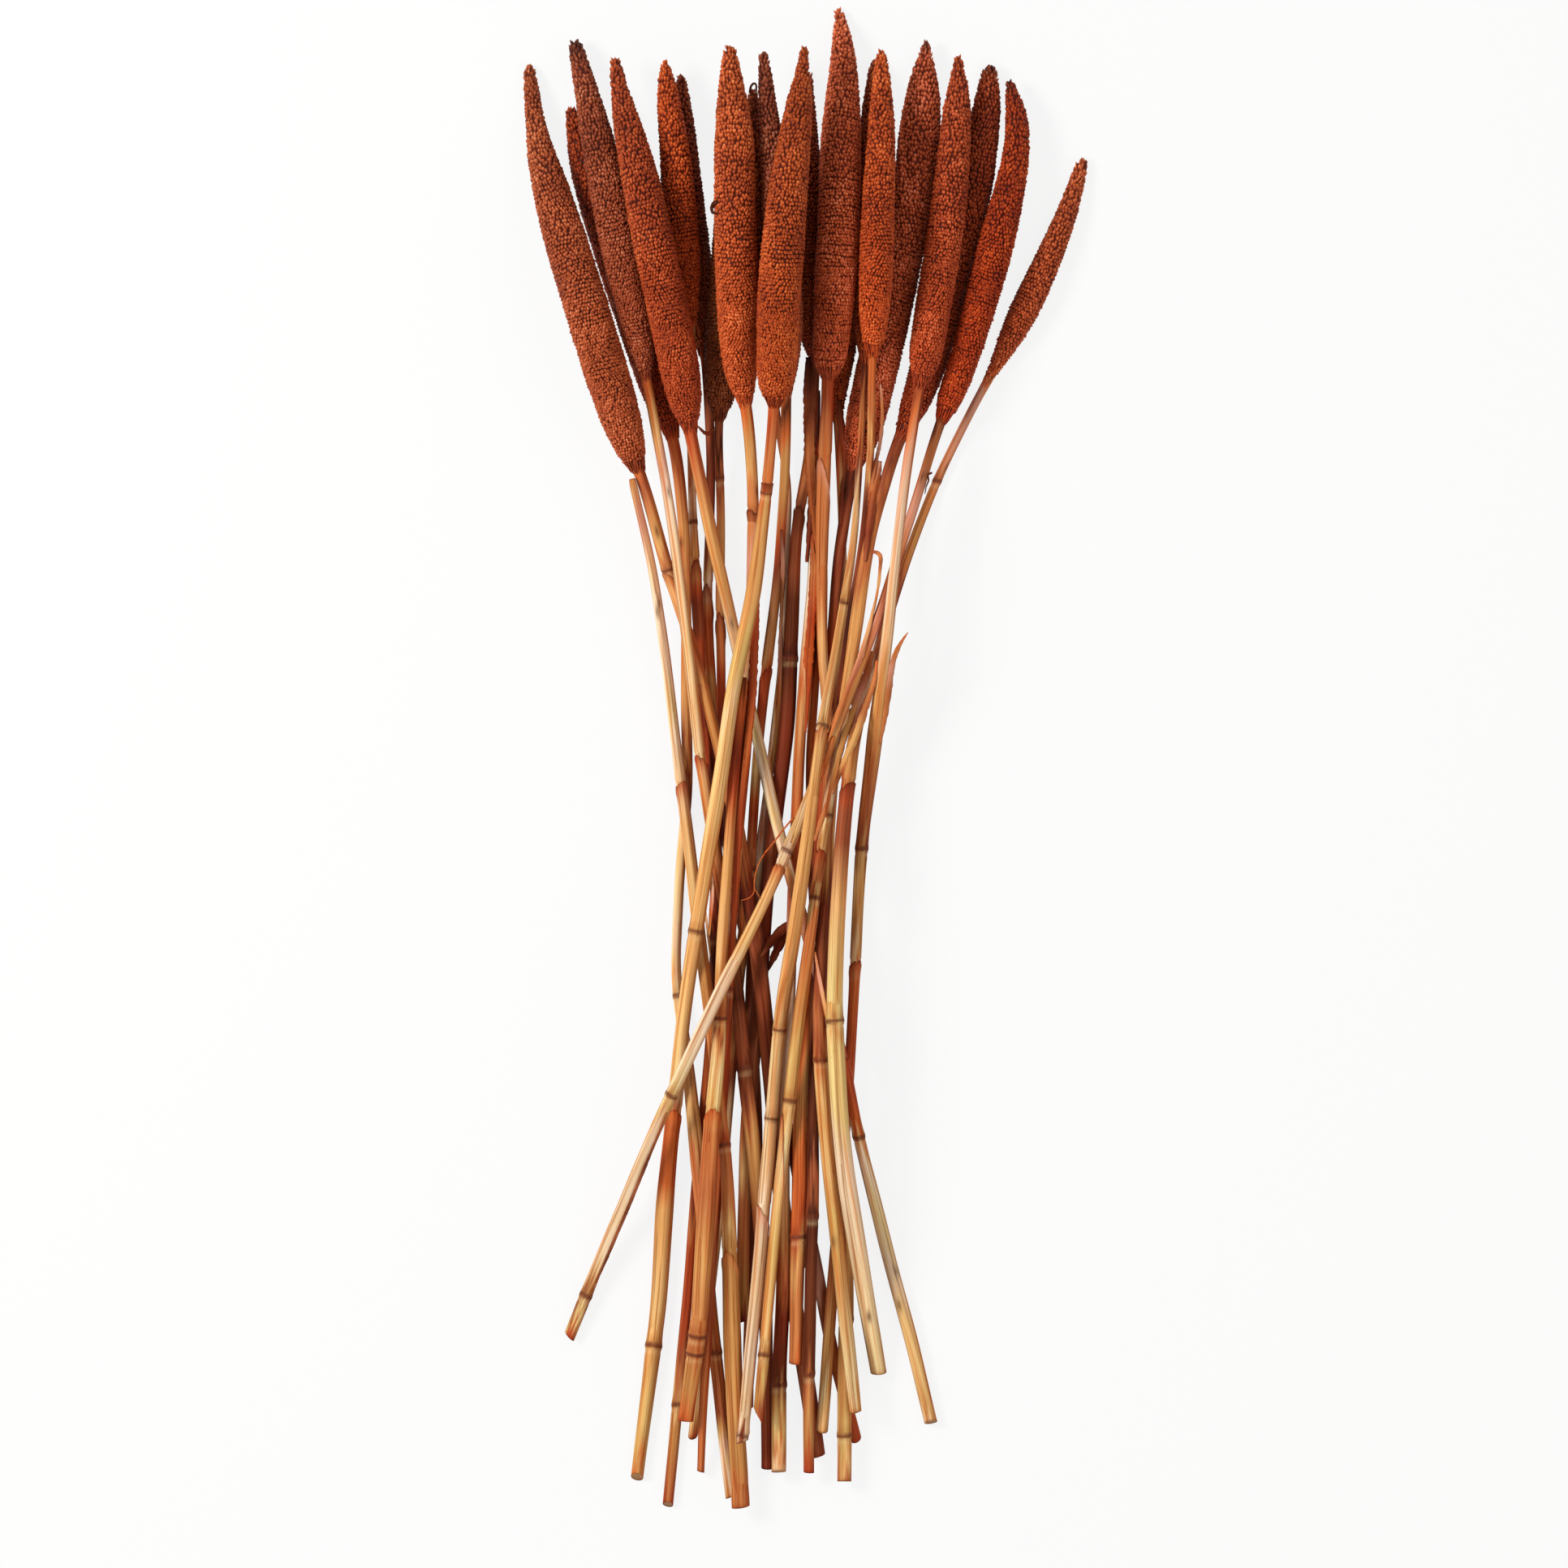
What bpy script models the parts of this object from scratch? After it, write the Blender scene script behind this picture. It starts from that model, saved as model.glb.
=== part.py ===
"""A loose bunch of dried millet stalks that lies flat, with its grain heads at +Y and its cut ends at -Y.

Each stalk is one grown piece, from the tip of its grain head to the cut end of its stem. The stalks
aren't tied: each one rests on the surface and on the stalks that it crosses, which is worked out here.
"""

from collections import namedtuple
from itertools import combinations, product

import bpy
import numpy as np

MM = 0.001
SIDES = 8
RING_SPACING = 30.0

# How far below its head's last ring a stem starts, and the least room between two stalks.
NECK = 1.5
GAP = 0.7

# The levels along Y where the stalks are compared, and how much nearer to each other two stalks
# are than they seem at one level, where they slant across each other and where they slope.
LEVELS = np.arange(260.0, -260.0, -3.0)
SLANT = 0.92
SLOPE = 0.94

# How the stalks settle: how stiff a stalk is, how firmly a contact holds, and the number of steps.
SPRINGINESS = 1.5e5
FIRMNESS = 30.0
SETTLING_STEPS = 4000

# Colours: stalks with a grain head, and bare stems.
RUST = (0.47, 0.13, 0.045)
STRAW = (0.68, 0.42, 0.18)

# Where the bunch is measured along Y for the stacking order of its stalks: through the heads,
# below the heads, at the waist, below the waist and at the cut ends.
STATIONS = (175, 70, -5, -85, -170)

# The stalks, in millimetres: each one's place in the stack at each station, where a higher number
# lies on a lower one, then the line over the surface that its head follows from tip to base, and
# the line of its stem down to the cut end, both as (x, y, thickness).
Stalk = namedtuple("Stalk", "name stack head stem")

STALKS = [
    Stalk(
        "millet_stalk_01", (3, 3, 3, 5, 3),
        [
            (-93.5, 234, 3.3), (-93, 230.5, 4.4), (-91.5, 215.5, 6.3), (-89.5, 204.5, 9.3),
            (-86.5, 194.5, 11.8), (-81.5, 177, 14), (-74.5, 155, 14.5), (-67.5, 132, 14.5),
            (-62, 115.5, 13.4), (-59, 106, 10.4), (-56.5, 100, 6.6),
        ],
        [
            (-53.5, 89.5, 3.8), (-46.5, 64.5, 4.1), (-38.5, 40, 3.8), (-31, 12.5, 3.8),
            (-24, -17.5, 4.4), (-18.5, -47.5, 4.9), (-14, -83, 5.2), (-10.5, -121.5, 5.2),
            (-6.5, -162.5, 5.2), (0, -207.5, 5.2), (4, -234.5, 5.2),
        ],
    ),
    Stalk(
        "millet_stalk_02", (1, 2, 3, 5, 4),
        [
            (-79.5, 219.5, 2.2), (-78.5, 216.5, 5.5), (-76.5, 208.5, 8.8), (-73.5, 199, 11.5),
            (-69, 185, 12.9), (-62, 163.5, 13.1), (-54.5, 141.5, 13.1), (-49.5, 126.5, 12.3),
            (-46.5, 116.5, 9.3), (-44.5, 110.5, 4.9),
        ],
        [
            (-43, 99, 4.1), (-41, 81, 3.8), (-40, 64.5, 3.6), (-40.5, 48.5, 3.6),
            (-40.5, 26.5, 3.6), (-39.5, 4.5, 3.8), (-40, -13.5, 3.6), (-42, -28.5, 3.3),
            (-43, -50, 3.3), (-44, -79, 3.3), (-40.5, -97, 4.1), (-37, -127, 4.9),
            (-34, -165, 4.4), (-30.5, -199.5, 4.4), (-25, -248.5, 4.1),
        ],
    ),
    Stalk(
        "millet_stalk_03", (2, 5, 3.6, 5.2, 3.2),
        [
            (-78, 242, 2.7), (-77.5, 239.5, 5.2), (-75.5, 233, 6.6), (-73.5, 223.5, 8.2),
            (-71, 212.5, 10.4), (-68, 200, 12), (-64.5, 182.5, 12.6), (-60.5, 163.5, 12.6),
            (-57, 147, 11.5), (-55.5, 137.5, 9), (-54, 130.5, 4.9),
        ],
        [
            (-51, 114, 3), (-45.5, 86.5, 3.3), (-42.5, 59.5, 3.3), (-39, 32, 3.3), (-35.5, 2, 3.6),
            (-31, -28.5, 3.8), (-25, -61, 4.4), (-21.5, -94, 4.7), (-18, -127, 4.9),
            (-14.5, -162.5, 4.7), (-13, -203.5, 4.1), (-13, -239, 3.8),
        ],
    ),
    Stalk(
        "millet_stalk_04", (3, 4, 5, 7, 9),
        [
            (-64, 236, 2.5), (-64, 233.5, 4.4), (-63, 226, 5.7), (-60.5, 215.5, 9),
            (-57, 201.5, 11.5), (-54, 188, 13.1), (-51, 173, 13.4), (-46.5, 152.5, 13.4),
            (-42.5, 133, 13.1), (-40.5, 122, 11.5), (-39.5, 116, 7.4), (-39, 112, 4.9),
        ],
        [
            (-38, 104.5, 4.1), (-32, 78.5, 4.4), (-26, 51, 4.1), (-20.5, 26.5, 3.8),
            (-14.5, 2, 3.8), (-9, -25.5, 4.1), (-1, -53, 3.8), (6.5, -79, 4.1), (15.5, -112, 4.4),
            (18, -126, 3.8), (24.5, -154, 4.7), (33, -184.5, 4.7), (42.5, -223, 4.4),
        ],
    ),
    Stalk(
        "millet_stalk_05", (2, 1, 1.5, 1, 1),
        [
            (-47, 235.5, 1.9), (-47.5, 231.5, 4.9), (-46.5, 223.5, 7.4), (-45, 212.5, 9),
            (-43.5, 200, 10.4), (-42.5, 185, 10.9), (-41, 171.5, 10.4), (-39.5, 160.5, 8.2),
            (-39, 151, 4.9), (-38.5, 147.5, 3.3),
        ],
        [
            (-39, 133, 2.5), (-38.5, 95, 2.5), (-37.5, 67.5, 3.3), (-36.5, 51, 4.4),
            (-35.5, 23.5, 3.6), (-32, -3.5, 3.6), (-29.5, -34, 3.6), (-28, -66.5, 3.3),
            (-30, -110.5, 3.3), (-32.5, -154, 3.3), (-35.5, -192.5, 3.3),
        ],
    ),
    Stalk(
        "millet_stalk_06", (0.8, 1, 1, 1, 1),
        [
            (-41.5, 231, 1.9), (-42.5, 227, 4.9), (-42, 218, 7.7), (-41.5, 207, 9.3),
            (-40.5, 193.5, 10.9), (-39, 178.5, 11.5), (-37, 163.5, 11.5), (-35.5, 149.5, 9.3),
            (-34, 140, 5.5), (-33.5, 136, 3.3),
        ],
        [
            (-33.5, 122, 3.3), (-31.5, 97.5, 2.7), (-33, 67.5, 3), (-33, 40, 3.6),
            (-30.5, 7.5, 3.3), (-27.5, -25.5, 3.3), (-18.5, -66.5, 3.6), (-9, -110.5, 3.6),
            (0.5, -154, 3.8), (10, -203.5, 3.8), (17, -229.5, 3.6),
        ],
    ),
    Stalk(
        "millet_stalk_07", (3, 4.5, 6, 5.5, 5),
        [
            (-26, 239.5, 2.5), (-25.5, 237, 5.2), (-25.5, 230.5, 7.4), (-24.5, 219.5, 10.7),
            (-24, 207, 13.1), (-24, 190.5, 13.4), (-23.5, 171.5, 14), (-23, 152.5, 13.4),
            (-22.5, 138.5, 12.3), (-22, 129, 10.1), (-20.5, 123.5, 6.6), (-20, 120.5, 4.1),
        ],
        [
            (-19, 111.5, 3.8), (-17.5, 95, 3.8), (-18.5, 67.5, 3.3), (-18, 40, 3.6),
            (-19.5, 12.5, 3.8), (-22, -14.5, 3.8), (-24.5, -44.5, 3.6), (-26, -80.5, 3),
            (-28.5, -124, 3), (-30.5, -157, 3.3), (-33.5, -195.5, 3.3), (-35.5, -239.5, 2.5),
        ],
    ),
    Stalk(
        "millet_stalk_08", (1, 2, 2.5, 1.8, 1.5),
        [
            (-17.5, 225.5, 1.6), (-18, 222, 4.4), (-17, 212.5, 7.7), (-16, 199, 10.4),
            (-15, 179.5, 12), (-13.5, 160.5, 12), (-12.5, 144, 10.9), (-11.5, 133, 7.7),
            (-11, 125.5, 3.8),
        ],
        [
            (-10, 115.5, 2.5), (-6, 95, 2.5), (-5, 85.5, 2.5), (-7, 62, 2.2), (-8, 34.5, 2.2),
            (-10, 12.5, 2.2), (-13.5, -12, 2.5), (-16, -34, 3.3), (-18, -69.5, 4.4),
            (-18, -105, 4.4), (-16, -138, 3.8), (-18.5, -175, 3.6), (-19.5, -218.5, 3.3),
        ],
    ),
    Stalk(
        "millet_stalk_09", (2, 3, 3, 4, 4),
        [
            (-14, 238, 1.6), (-14, 235.5, 3.8), (-13.5, 227.5, 4.9), (-12.5, 216.5, 6.6),
            (-11, 204.5, 8.2), (-9.5, 190.5, 9.9), (-8.5, 174, 11.5), (-7.5, 158, 12),
            (-6.5, 144, 10.9), (-6.5, 133, 7.7), (-6.5, 125, 4.1),
        ],
        [
            (-6.5, 111.5, 3.3), (-7.5, 84, 3), (-10.5, 54, 3), (-13.5, 29, 3.8), (-16.5, 2, 3.3),
            (-18, -25.5, 3.3), (-21, -61, 4.1), (-24, -83, 4.1), (-25.5, -110.5, 3.3),
            (-29, -149, 3.3), (-33.5, -190, 3.3), (-38, -228.5, 3),
        ],
    ),
    Stalk(
        "millet_stalk_10", (3, 6, 8, 8, 8),
        [
            (-1, 239.5, 2.2), (-0.5, 236.5, 3.3), (-1, 230.5, 4.9), (-2, 222, 8.5),
            (-3.5, 211, 10.4), (-5, 200, 11.8), (-6.5, 188, 12.9), (-7.5, 174, 14),
            (-9, 160.5, 14), (-9.5, 144, 13.7), (-10, 130.5, 13.1), (-10.5, 124, 9.9),
            (-10.5, 120.5, 3.8),
        ],
        [
            (-11.5, 108.5, 3.3), (-13.5, 89.5, 3.8), (-16, 64.5, 4.9), (-18.5, 51, 5.5),
            (-22, 37.5, 4.9), (-26.5, 10, 4.9), (-30.5, -17.5, 5.2), (-37, -57, 4.9),
            (-40.5, -80.5, 4.4), (-44.5, -117.5, 5.2), (-48, -154, 6.3), (-50.5, -194, 5.5),
            (-52.5, -206, 4.9), (-57, -242.5, 4.1),
        ],
    ),
    Stalk(
        "millet_stalk_11", (1, 2.5, 2.8, 2.2, 3),
        [
            (1, 231, 1.6), (1, 227.5, 3.3), (0, 218, 6.6), (-0.5, 207, 9.3), (0.5, 190.5, 11.5),
            (1, 171.5, 12.3), (2, 155, 12), (3, 144, 10.4), (3.5, 138, 6), (3.5, 135, 3.6),
        ],
        [
            (1.5, 122, 3.3), (1, 100.5, 3.3), (-3.5, 75.5, 4.1), (-4.5, 48.5, 4.7),
            (-5.5, 21, 5.2), (-8.5, -6.5, 4.9), (-12.5, -34, 4.7), (-14, -64, 4.7),
            (-18, -99.5, 4.9), (-20.5, -138, 4.4), (-21, -189.5, 3.8),
        ],
    ),
    Stalk(
        "millet_stalk_12", (3, 4, 3, 4, 6),
        [
            (11, 253, 2.2), (11.5, 250.5, 3.8), (12.5, 244, 6.3), (13, 236, 8.5),
            (12.5, 226, 10.7), (12, 214, 12.9), (11.5, 199, 13.7), (11, 179.5, 13.7),
            (10, 163.5, 13.7), (9, 147, 12.3), (8, 137.5, 12), (7.5, 132.5, 9.3),
            (7.5, 129.5, 4.9),
        ],
        [
            (7, 116.5, 3.8), (6, 95, 4.9), (5.5, 75.5, 4.9), (5, 59.5, 3.6), (5.5, 40, 3.3),
            (8, 12.5, 3.3), (7, -20, 3.3), (5, -53, 3.6), (3, -88.5, 3.6), (2.5, -129.5, 3.6),
            (2.5, -154, 3.8), (2, -170.5, 4.1), (1, -209, 3.8), (1, -239.5, 3.6),
        ],
    ),
    Stalk(
        "millet_stalk_13", (2, 4.2, 10, 10, 8),
        [
            (23.5, 236, 2.2), (23.5, 232, 4.9), (23.5, 225, 7.4), (23.5, 215.5, 9.9),
            (23.5, 201.5, 11.5), (22.5, 185, 12), (21.5, 166, 12), (21, 151, 10.4),
            (20.5, 141.5, 7.1), (20, 135, 3.8),
        ],
        [
            (19, 119.5, 2.2), (18.5, 103, 2.2), (17, 86.5, 2.5), (15.5, 67.5, 2.5), (13, 53, 3),
            (9.5, 32, 3.8), (5, 7.5, 3.8), (1.5, -17.5, 4.1), (-1, -39.5, 4.9), (-6.5, -72, 4.7),
            (-10, -102, 4.1), (-13.5, -143.5, 4.4), (-17, -184.5, 4.7), (-21.5, -230, 3.6),
        ],
    ),
    Stalk(
        "millet_stalk_14", (4, 3, 5.2, 8, 9),
        [
            (25.5, 238.5, 2.2), (25.5, 235.5, 4.4), (25.5, 229, 6), (25.5, 218, 8.2),
            (25.5, 207, 9.3), (24.5, 193.5, 10.4), (24, 177, 10.9), (23.5, 163.5, 10.9),
            (23, 151, 9.9), (22.5, 142.5, 7.7), (22.5, 137.5, 4.4),
        ],
        [
            (22, 119.5, 2.7), (22, 103, 2.5), (21, 86.5, 2.5), (18.5, 67.5, 2.5), (15.5, 54, 2.5),
            (12, 21, 2.5), (9, -12, 3), (6.5, -50, 4.1), (4.5, -77.5, 4.7), (5, -102, 4.7),
            (8, -138, 4.4), (12.5, -179, 4.7), (17, -219.5, 3.8),
        ],
    ),
    Stalk(
        "millet_stalk_15", (1, 2, 2.6, 3.8, 5.5),
        [
            (40.5, 242, 2.2), (40.5, 238.5, 4.1), (40, 231.5, 8.5), (39.5, 223.5, 11.8),
            (38.5, 211, 14), (37, 197.5, 14), (34.5, 179.5, 13.7), (31, 163.5, 13.7),
            (27.5, 147, 13.7), (24, 132, 13.7), (20.5, 118, 13.1), (18.5, 108.5, 11.5),
            (16.5, 101.5, 6.6), (16, 99, 3.6),
        ],
        [
            (14, 92, 3.6), (11, 70, 3.6), (9, 48.5, 3), (8, 23.5, 2.7), (6, -3.5, 3),
            (4.5, -31, 3.3), (2, -64, 3.6), (-1, -97, 4.1), (-2, -135, 5.2), (-2.5, -165, 4.7),
            (-3.5, -203, 4.1),
        ],
    ),
    Stalk(
        "millet_stalk_16", (3, 6, 7, 7, 5),
        [
            (51.5, 237, 2.2), (51.5, 233.5, 3.8), (51.5, 227.5, 6.8), (51, 218, 9.6),
            (50, 204.5, 10.7), (48.5, 190.5, 11.5), (46.5, 174, 11.8), (44, 160.5, 11.8),
            (42, 147, 11.5), (40, 136, 10.9), (39, 130.5, 7.4), (38.5, 126.5, 4.7),
        ],
        [
            (37, 119.5, 3.3), (33, 92, 3.3), (30, 64.5, 3.3), (27, 40, 3.8), (23.5, 10, 5.2),
            (21, -12, 4.4), (18.5, -29.5, 3.8), (17, -58.5, 3.6), (15.5, -94, 3.6),
            (13, -127, 3.6), (9.5, -170.5, 3.8), (5.5, -226.5, 3.8),
        ],
    ),
    Stalk(
        "millet_stalk_17", (1, 3.4, 6, 9, 9),
        [
            (62, 234, 3.3), (62, 230.5, 6), (61.5, 222, 9), (60, 212.5, 10.4), (58, 200, 11.8),
            (55.5, 186.5, 12), (51.5, 173, 12), (48.5, 159, 12), (45, 145.5, 12), (41, 133, 11.5),
            (37.5, 122, 9.9), (33.5, 114, 6.6), (31.5, 109.5, 4.1),
        ],
        [
            (29, 103, 3.8), (22, 78.5, 3.6), (17, 45.5, 4.4), (13, 18, 3.6), (9.5, -3.5, 4.1),
            (6.5, -20, 3.3), (3, -47.5, 3.3), (-1, -77.5, 4.1), (-5.5, -113.5, 4.1),
            (-10, -154, 3.8), (-13, -190, 3.8), (-16.5, -223, 3.3),
        ],
    ),
    Stalk(
        "millet_stalk_18", (2, 4, 8.5, 12, 8),
        [
            (67.5, 228.5, 1.6), (69.5, 226, 3.6), (71, 222, 6), (72, 215.5, 7.7), (71.5, 207, 8.5),
            (70.5, 200, 9.3), (68, 189.5, 10.4), (64.5, 175.5, 11.8), (61.5, 164.5, 11.5),
            (57.5, 149.5, 10.4), (53.5, 136, 9.6), (49.5, 125, 9), (47, 119.5, 7.4),
            (45.5, 115.5, 4.4),
        ],
        [
            (44.5, 111.5, 3), (34, 78.5, 3), (25, 49.5, 3), (16, 26.5, 3.8), (6.5, 2, 3.3),
            (-6, -30.5, 3.6), (-18.5, -57, 4.1), (-34.5, -88.5, 4.1), (-48, -118.5, 3.8),
            (-61.5, -149, 4.1), (-73, -177.5, 3.8), (-80, -194, 3.8),
        ],
    ),
    Stalk(
        "millet_stalk_19", (2, 4, 6.6, 10, 10),
        [
            (94, 202.5, 1.9), (93, 200, 4.4), (91, 193.5, 5.5), (88.5, 185, 6.8), (85, 177, 7.9),
            (81.5, 168.5, 8.8), (77, 159, 9.6), (73, 151, 9.3), (69, 143.5, 7.7), (66, 137.5, 5.5),
            (62.5, 131, 3.6), (60, 126.5, 2.7),
        ],
        [
            (56.5, 119.5, 2.5), (44.5, 96, 2.7), (36.5, 75.5, 3), (26, 43, 3), (18.5, 20.5, 3.6),
            (15, 2, 4.4), (12.5, -25.5, 5.2), (9.5, -77.5, 5.5), (11, -113, 5.5), (15.5, -154, 6),
            (20.5, -181.5, 5.7), (24.5, -205.5, 5.2),
        ],
    ),
    Stalk(
        "millet_stalk_20", (1, 1.5, 2, 2, 4),
        [
            (-22, 225.5, 2.2), (-22.5, 221.5, 5.5), (-23.5, 210, 9.3), (-24, 193.5, 11.8),
            (-25, 174, 12.6), (-26.5, 155, 12.6), (-27.5, 138.5, 12.6), (-28.5, 126.5, 10.9),
            (-29.5, 120, 7.7), (-29.5, 115.5, 3.6),
        ],
        [
            (-29.5, 106, 2.7), (-28.5, 81, 2.7), (-29, 40, 3.3), (-28.5, -1, 3.3),
            (-30.5, -42, 3.3), (-31.5, -86, 3.3), (-36, -132.5, 3.3), (-39.5, -173.5, 3.3),
            (-43.5, -218.5, 3.6), (-46.5, -251.5, 3.6),
        ],
    ),
    Stalk(
        "millet_stalk_21", (0.5, 0.9, 2, 1.5, 1.4),
        [
            (15.5, 214.5, 2.2), (15.5, 210.5, 5.5), (15, 199, 9.3), (14.5, 182.5, 11.5),
            (13.5, 163.5, 12), (12.5, 147, 11.5), (10.5, 133, 9.3), (10.5, 123.5, 6),
            (10.5, 116, 3.3),
        ],
        [
            (11, 103, 2.5), (12.5, 81, 2.5), (13, 56.5, 2.2), (10.5, 29, 2.5), (7.5, 2, 2.5),
            (4.5, -39.5, 2.7), (2, -83, 2.7), (-0.5, -127, 2.7), (-1, -170.5, 2.7),
        ],
    ),
    Stalk(
        "bare_stalk_1", (2, 3.5, 5, 7, 7),
        [],
        [
            (-58.5, 95, 2.5), (-55.5, 81, 2.7), (-51.5, 64.5, 3), (-48.5, 48.5, 3.3),
            (-46.5, 29, 3.3), (-44, 7.5, 3.3), (-41, -14.5, 4.1), (-38, -42, 4.4),
            (-34, -69.5, 4.4), (-31.5, -94, 4.4), (-27.5, -127, 3.6), (-25.5, -162.5, 4.9),
            (-25, -192.5, 6), (-22, -251.5, 5.7),
        ],
    ),
    Stalk(
        "bare_stalk_2", (3, 5.5, 6.6, 9, 9),
        [],
        [
            (-21, 28, 3.3), (-23.5, 7.5, 3.6), (-25, -17.5, 3.6), (-27, -42, 3.6),
            (-28.5, -69.5, 3.8), (-29.5, -99.5, 4.7), (-32.5, -132.5, 6), (-34, -162.5, 6.6),
            (-37, -198, 5.5), (-40.5, -222, 5.2),
        ],
    ),
    Stalk(
        "bare_stalk_3", (2, 2, 4, 5.5, 4.5),
        [],
        [
            (2.5, 92, 2.5), (2.5, 64.5, 2.5), (0, 40, 3.3), (-1.5, 15.5, 3.8), (-3, -17.5, 3.8),
            (-4.5, -50, 3.6), (-5.5, -83, 3.6), (-7.5, -118.5, 4.1), (-7.5, -157, 4.7),
            (-8, -192.5, 4.9), (-9.5, -220, 4.9), (-9, -240, 4.9),
        ],
    ),
    Stalk(
        "bare_stalk_4", (1.2, 1, 2, 2, 4),
        [],
        [
            (4, 125.5, 2.2), (3.5, 92, 2.2), (3.5, 54, 2.5), (3.5, 29, 3), (1.5, 2, 3),
            (1.5, -28.5, 3.3), (4.5, -66.5, 3.8), (9, -110.5, 4.1), (13.5, -154, 4.4),
            (14, -179, 4.7), (13, -209, 4.7), (13, -243, 4.7),
        ],
    ),
]


def smooth_through(places, values, wanted):
    """A curve through the values that keeps its slope from one stretch to the next."""
    slopes = np.gradient(values, places)
    before = np.clip(np.searchsorted(places, wanted) - 1, 0, len(places) - 2)
    stretch = places[before + 1] - places[before]
    t = (wanted - places[before]) / stretch
    start = (1 + 2 * t) * (1 - t) ** 2 * values[before] + t * (1 - t) ** 2 * stretch * slopes[before]
    end = t * t * (3 - 2 * t) * values[before + 1] + t * t * (t - 1) * stretch * slopes[before + 1]
    return start + end


def rings_of(stalk):
    """Along each ring of a stalk from tip to cut end: its Y, its X and its radius."""
    head = np.array(stalk.head, float).reshape(-1, 3)
    stem = np.array(stalk.stem, float)
    x, y, width = np.concatenate([head, stem]).T
    top = head[-1, 1] - NECK if stalk.head else y[0]
    stem_y = np.linspace(top, y[-1], round((top - y[-1]) / RING_SPACING) + 1)
    ring_y = np.concatenate([head[:, 1], stem_y])
    ring_x = smooth_through(-y, x, -ring_y)
    stem_width = np.interp(-stem_y, -stem[:, 1], stem[:, 2])
    return ring_y, ring_x, np.concatenate([head[:, 2], stem_width]) / 2


def measured(stalk):
    """A stalk's rings, and at every level along Y its line, its radius, its place in the stack and
    the two rings that the level lies between, each with its share in it."""
    y, x, radius = rings_of(stalk)
    above = np.clip(np.searchsorted(-y, -LEVELS) - 1, 0, len(y) - 2)
    share = np.clip((y[above] - LEVELS) / (y[above] - y[above + 1]), 0, 1)
    return {
        "rings": (y, x, radius),
        "present": (LEVELS <= y[0]) & (LEVELS >= y[-1]),
        "between": np.stack([above, above + 1], axis=1),
        "share": np.stack([1 - share, share], axis=1),
        "x": np.interp(-LEVELS, -y, x),
        "radius": np.interp(-LEVELS, -y, radius),
        "rank": np.interp(-LEVELS, -np.array(STATIONS), stalk.stack),
    }


def contacts(one, other):
    """The levels where two stalks pass over each other, how much higher the upper one's middle
    stays there, and which is on top: one answer for each stretch that they lie side by side."""
    across = (one["x"] - other["x"]) * SLANT
    room = ((one["radius"] + other["radius"]) / SLOPE + GAP) ** 2 - across**2
    near = np.flatnonzero((room > 0) & one["present"] & other["present"])
    lead = (one["rank"] - other["rank"])[near]
    stretch = np.cumsum(np.diff(near, prepend=near[:1]) > 1)
    for number in np.unique(stretch):
        lead[stretch == number] = lead[stretch == number].mean()
    return near, np.sqrt(room[near]), np.sign(lead)


def stiffness(y, x):
    """How much each set of ring heights bends a stalk, as a matrix."""
    step = np.hypot(np.diff(y), np.diff(x))
    slope = np.diff(np.eye(len(y)), axis=0) / step[:, None]
    half = (step[1:] + step[:-1]) / 2
    curve = np.diff(slope, axis=0) / half[:, None]
    return SPRINGINESS * curve.T @ (half[:, None] * curve)


def lay(stalks):
    """Ring heights of all stalks together: they sag under their weight, as far as their stiffness
    lets them, and rest on the surface and on each other."""
    starts = np.cumsum([0, *(len(stalk["rings"][0]) for stalk in stalks)])
    count = starts[-1]
    spring = np.zeros((count, count))
    for stalk, start, end in zip(stalks, starts, starts[1:]):
        spring[start:end, start:end] = stiffness(*stalk["rings"][:2])
    weight = np.concatenate([-np.gradient(stalk["rings"][0]) for stalk in stalks])

    # Each rest is a sum over four rings that must not be less than its gap: a ring on the surface,
    # or the two rings around a level of the upper stalk less the two of the lower one.
    every_ring = np.arange(count)
    rings = [np.stack([every_ring] * 4, axis=1)]
    shares = [np.tile((1.0, 0, 0, 0), (count, 1))]
    gaps = [np.concatenate([stalk["rings"][2] for stalk in stalks])]
    for first, second in combinations(range(len(stalks)), 2):
        near, apart, lead = contacts(stalks[first], stalks[second])
        one = stalks[first]["between"][near] + starts[first]
        other = stalks[second]["between"][near] + starts[second]
        share = np.hstack([stalks[first]["share"][near], -stalks[second]["share"][near]])
        rings.append(np.hstack([one, other]))
        shares.append(share * lead[:, None])
        gaps.append(apart)
    rings = np.concatenate(rings)
    shares = np.concatenate(shares)
    gaps = np.concatenate(gaps)

    hold = np.zeros((count, count))
    for one, other in product(range(4), repeat=2):
        np.add.at(hold, (rings[:, one], rings[:, other]), shares[:, one] * shares[:, other])
    give = np.linalg.inv(spring + FIRMNESS * hold)
    touch = gaps.copy()
    push = np.zeros_like(gaps)
    for _ in range(SETTLING_STEPS):
        lift = np.bincount(rings.ravel(), (shares * (touch - push)[:, None]).ravel(), count)
        heights = give @ (FIRMNESS * lift - weight)
        spread = (shares * heights[rings]).sum(axis=1)
        touch = np.maximum(gaps, spread + push)
        push += spread - touch
    return np.split(heights, starts[1:-1])


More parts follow.
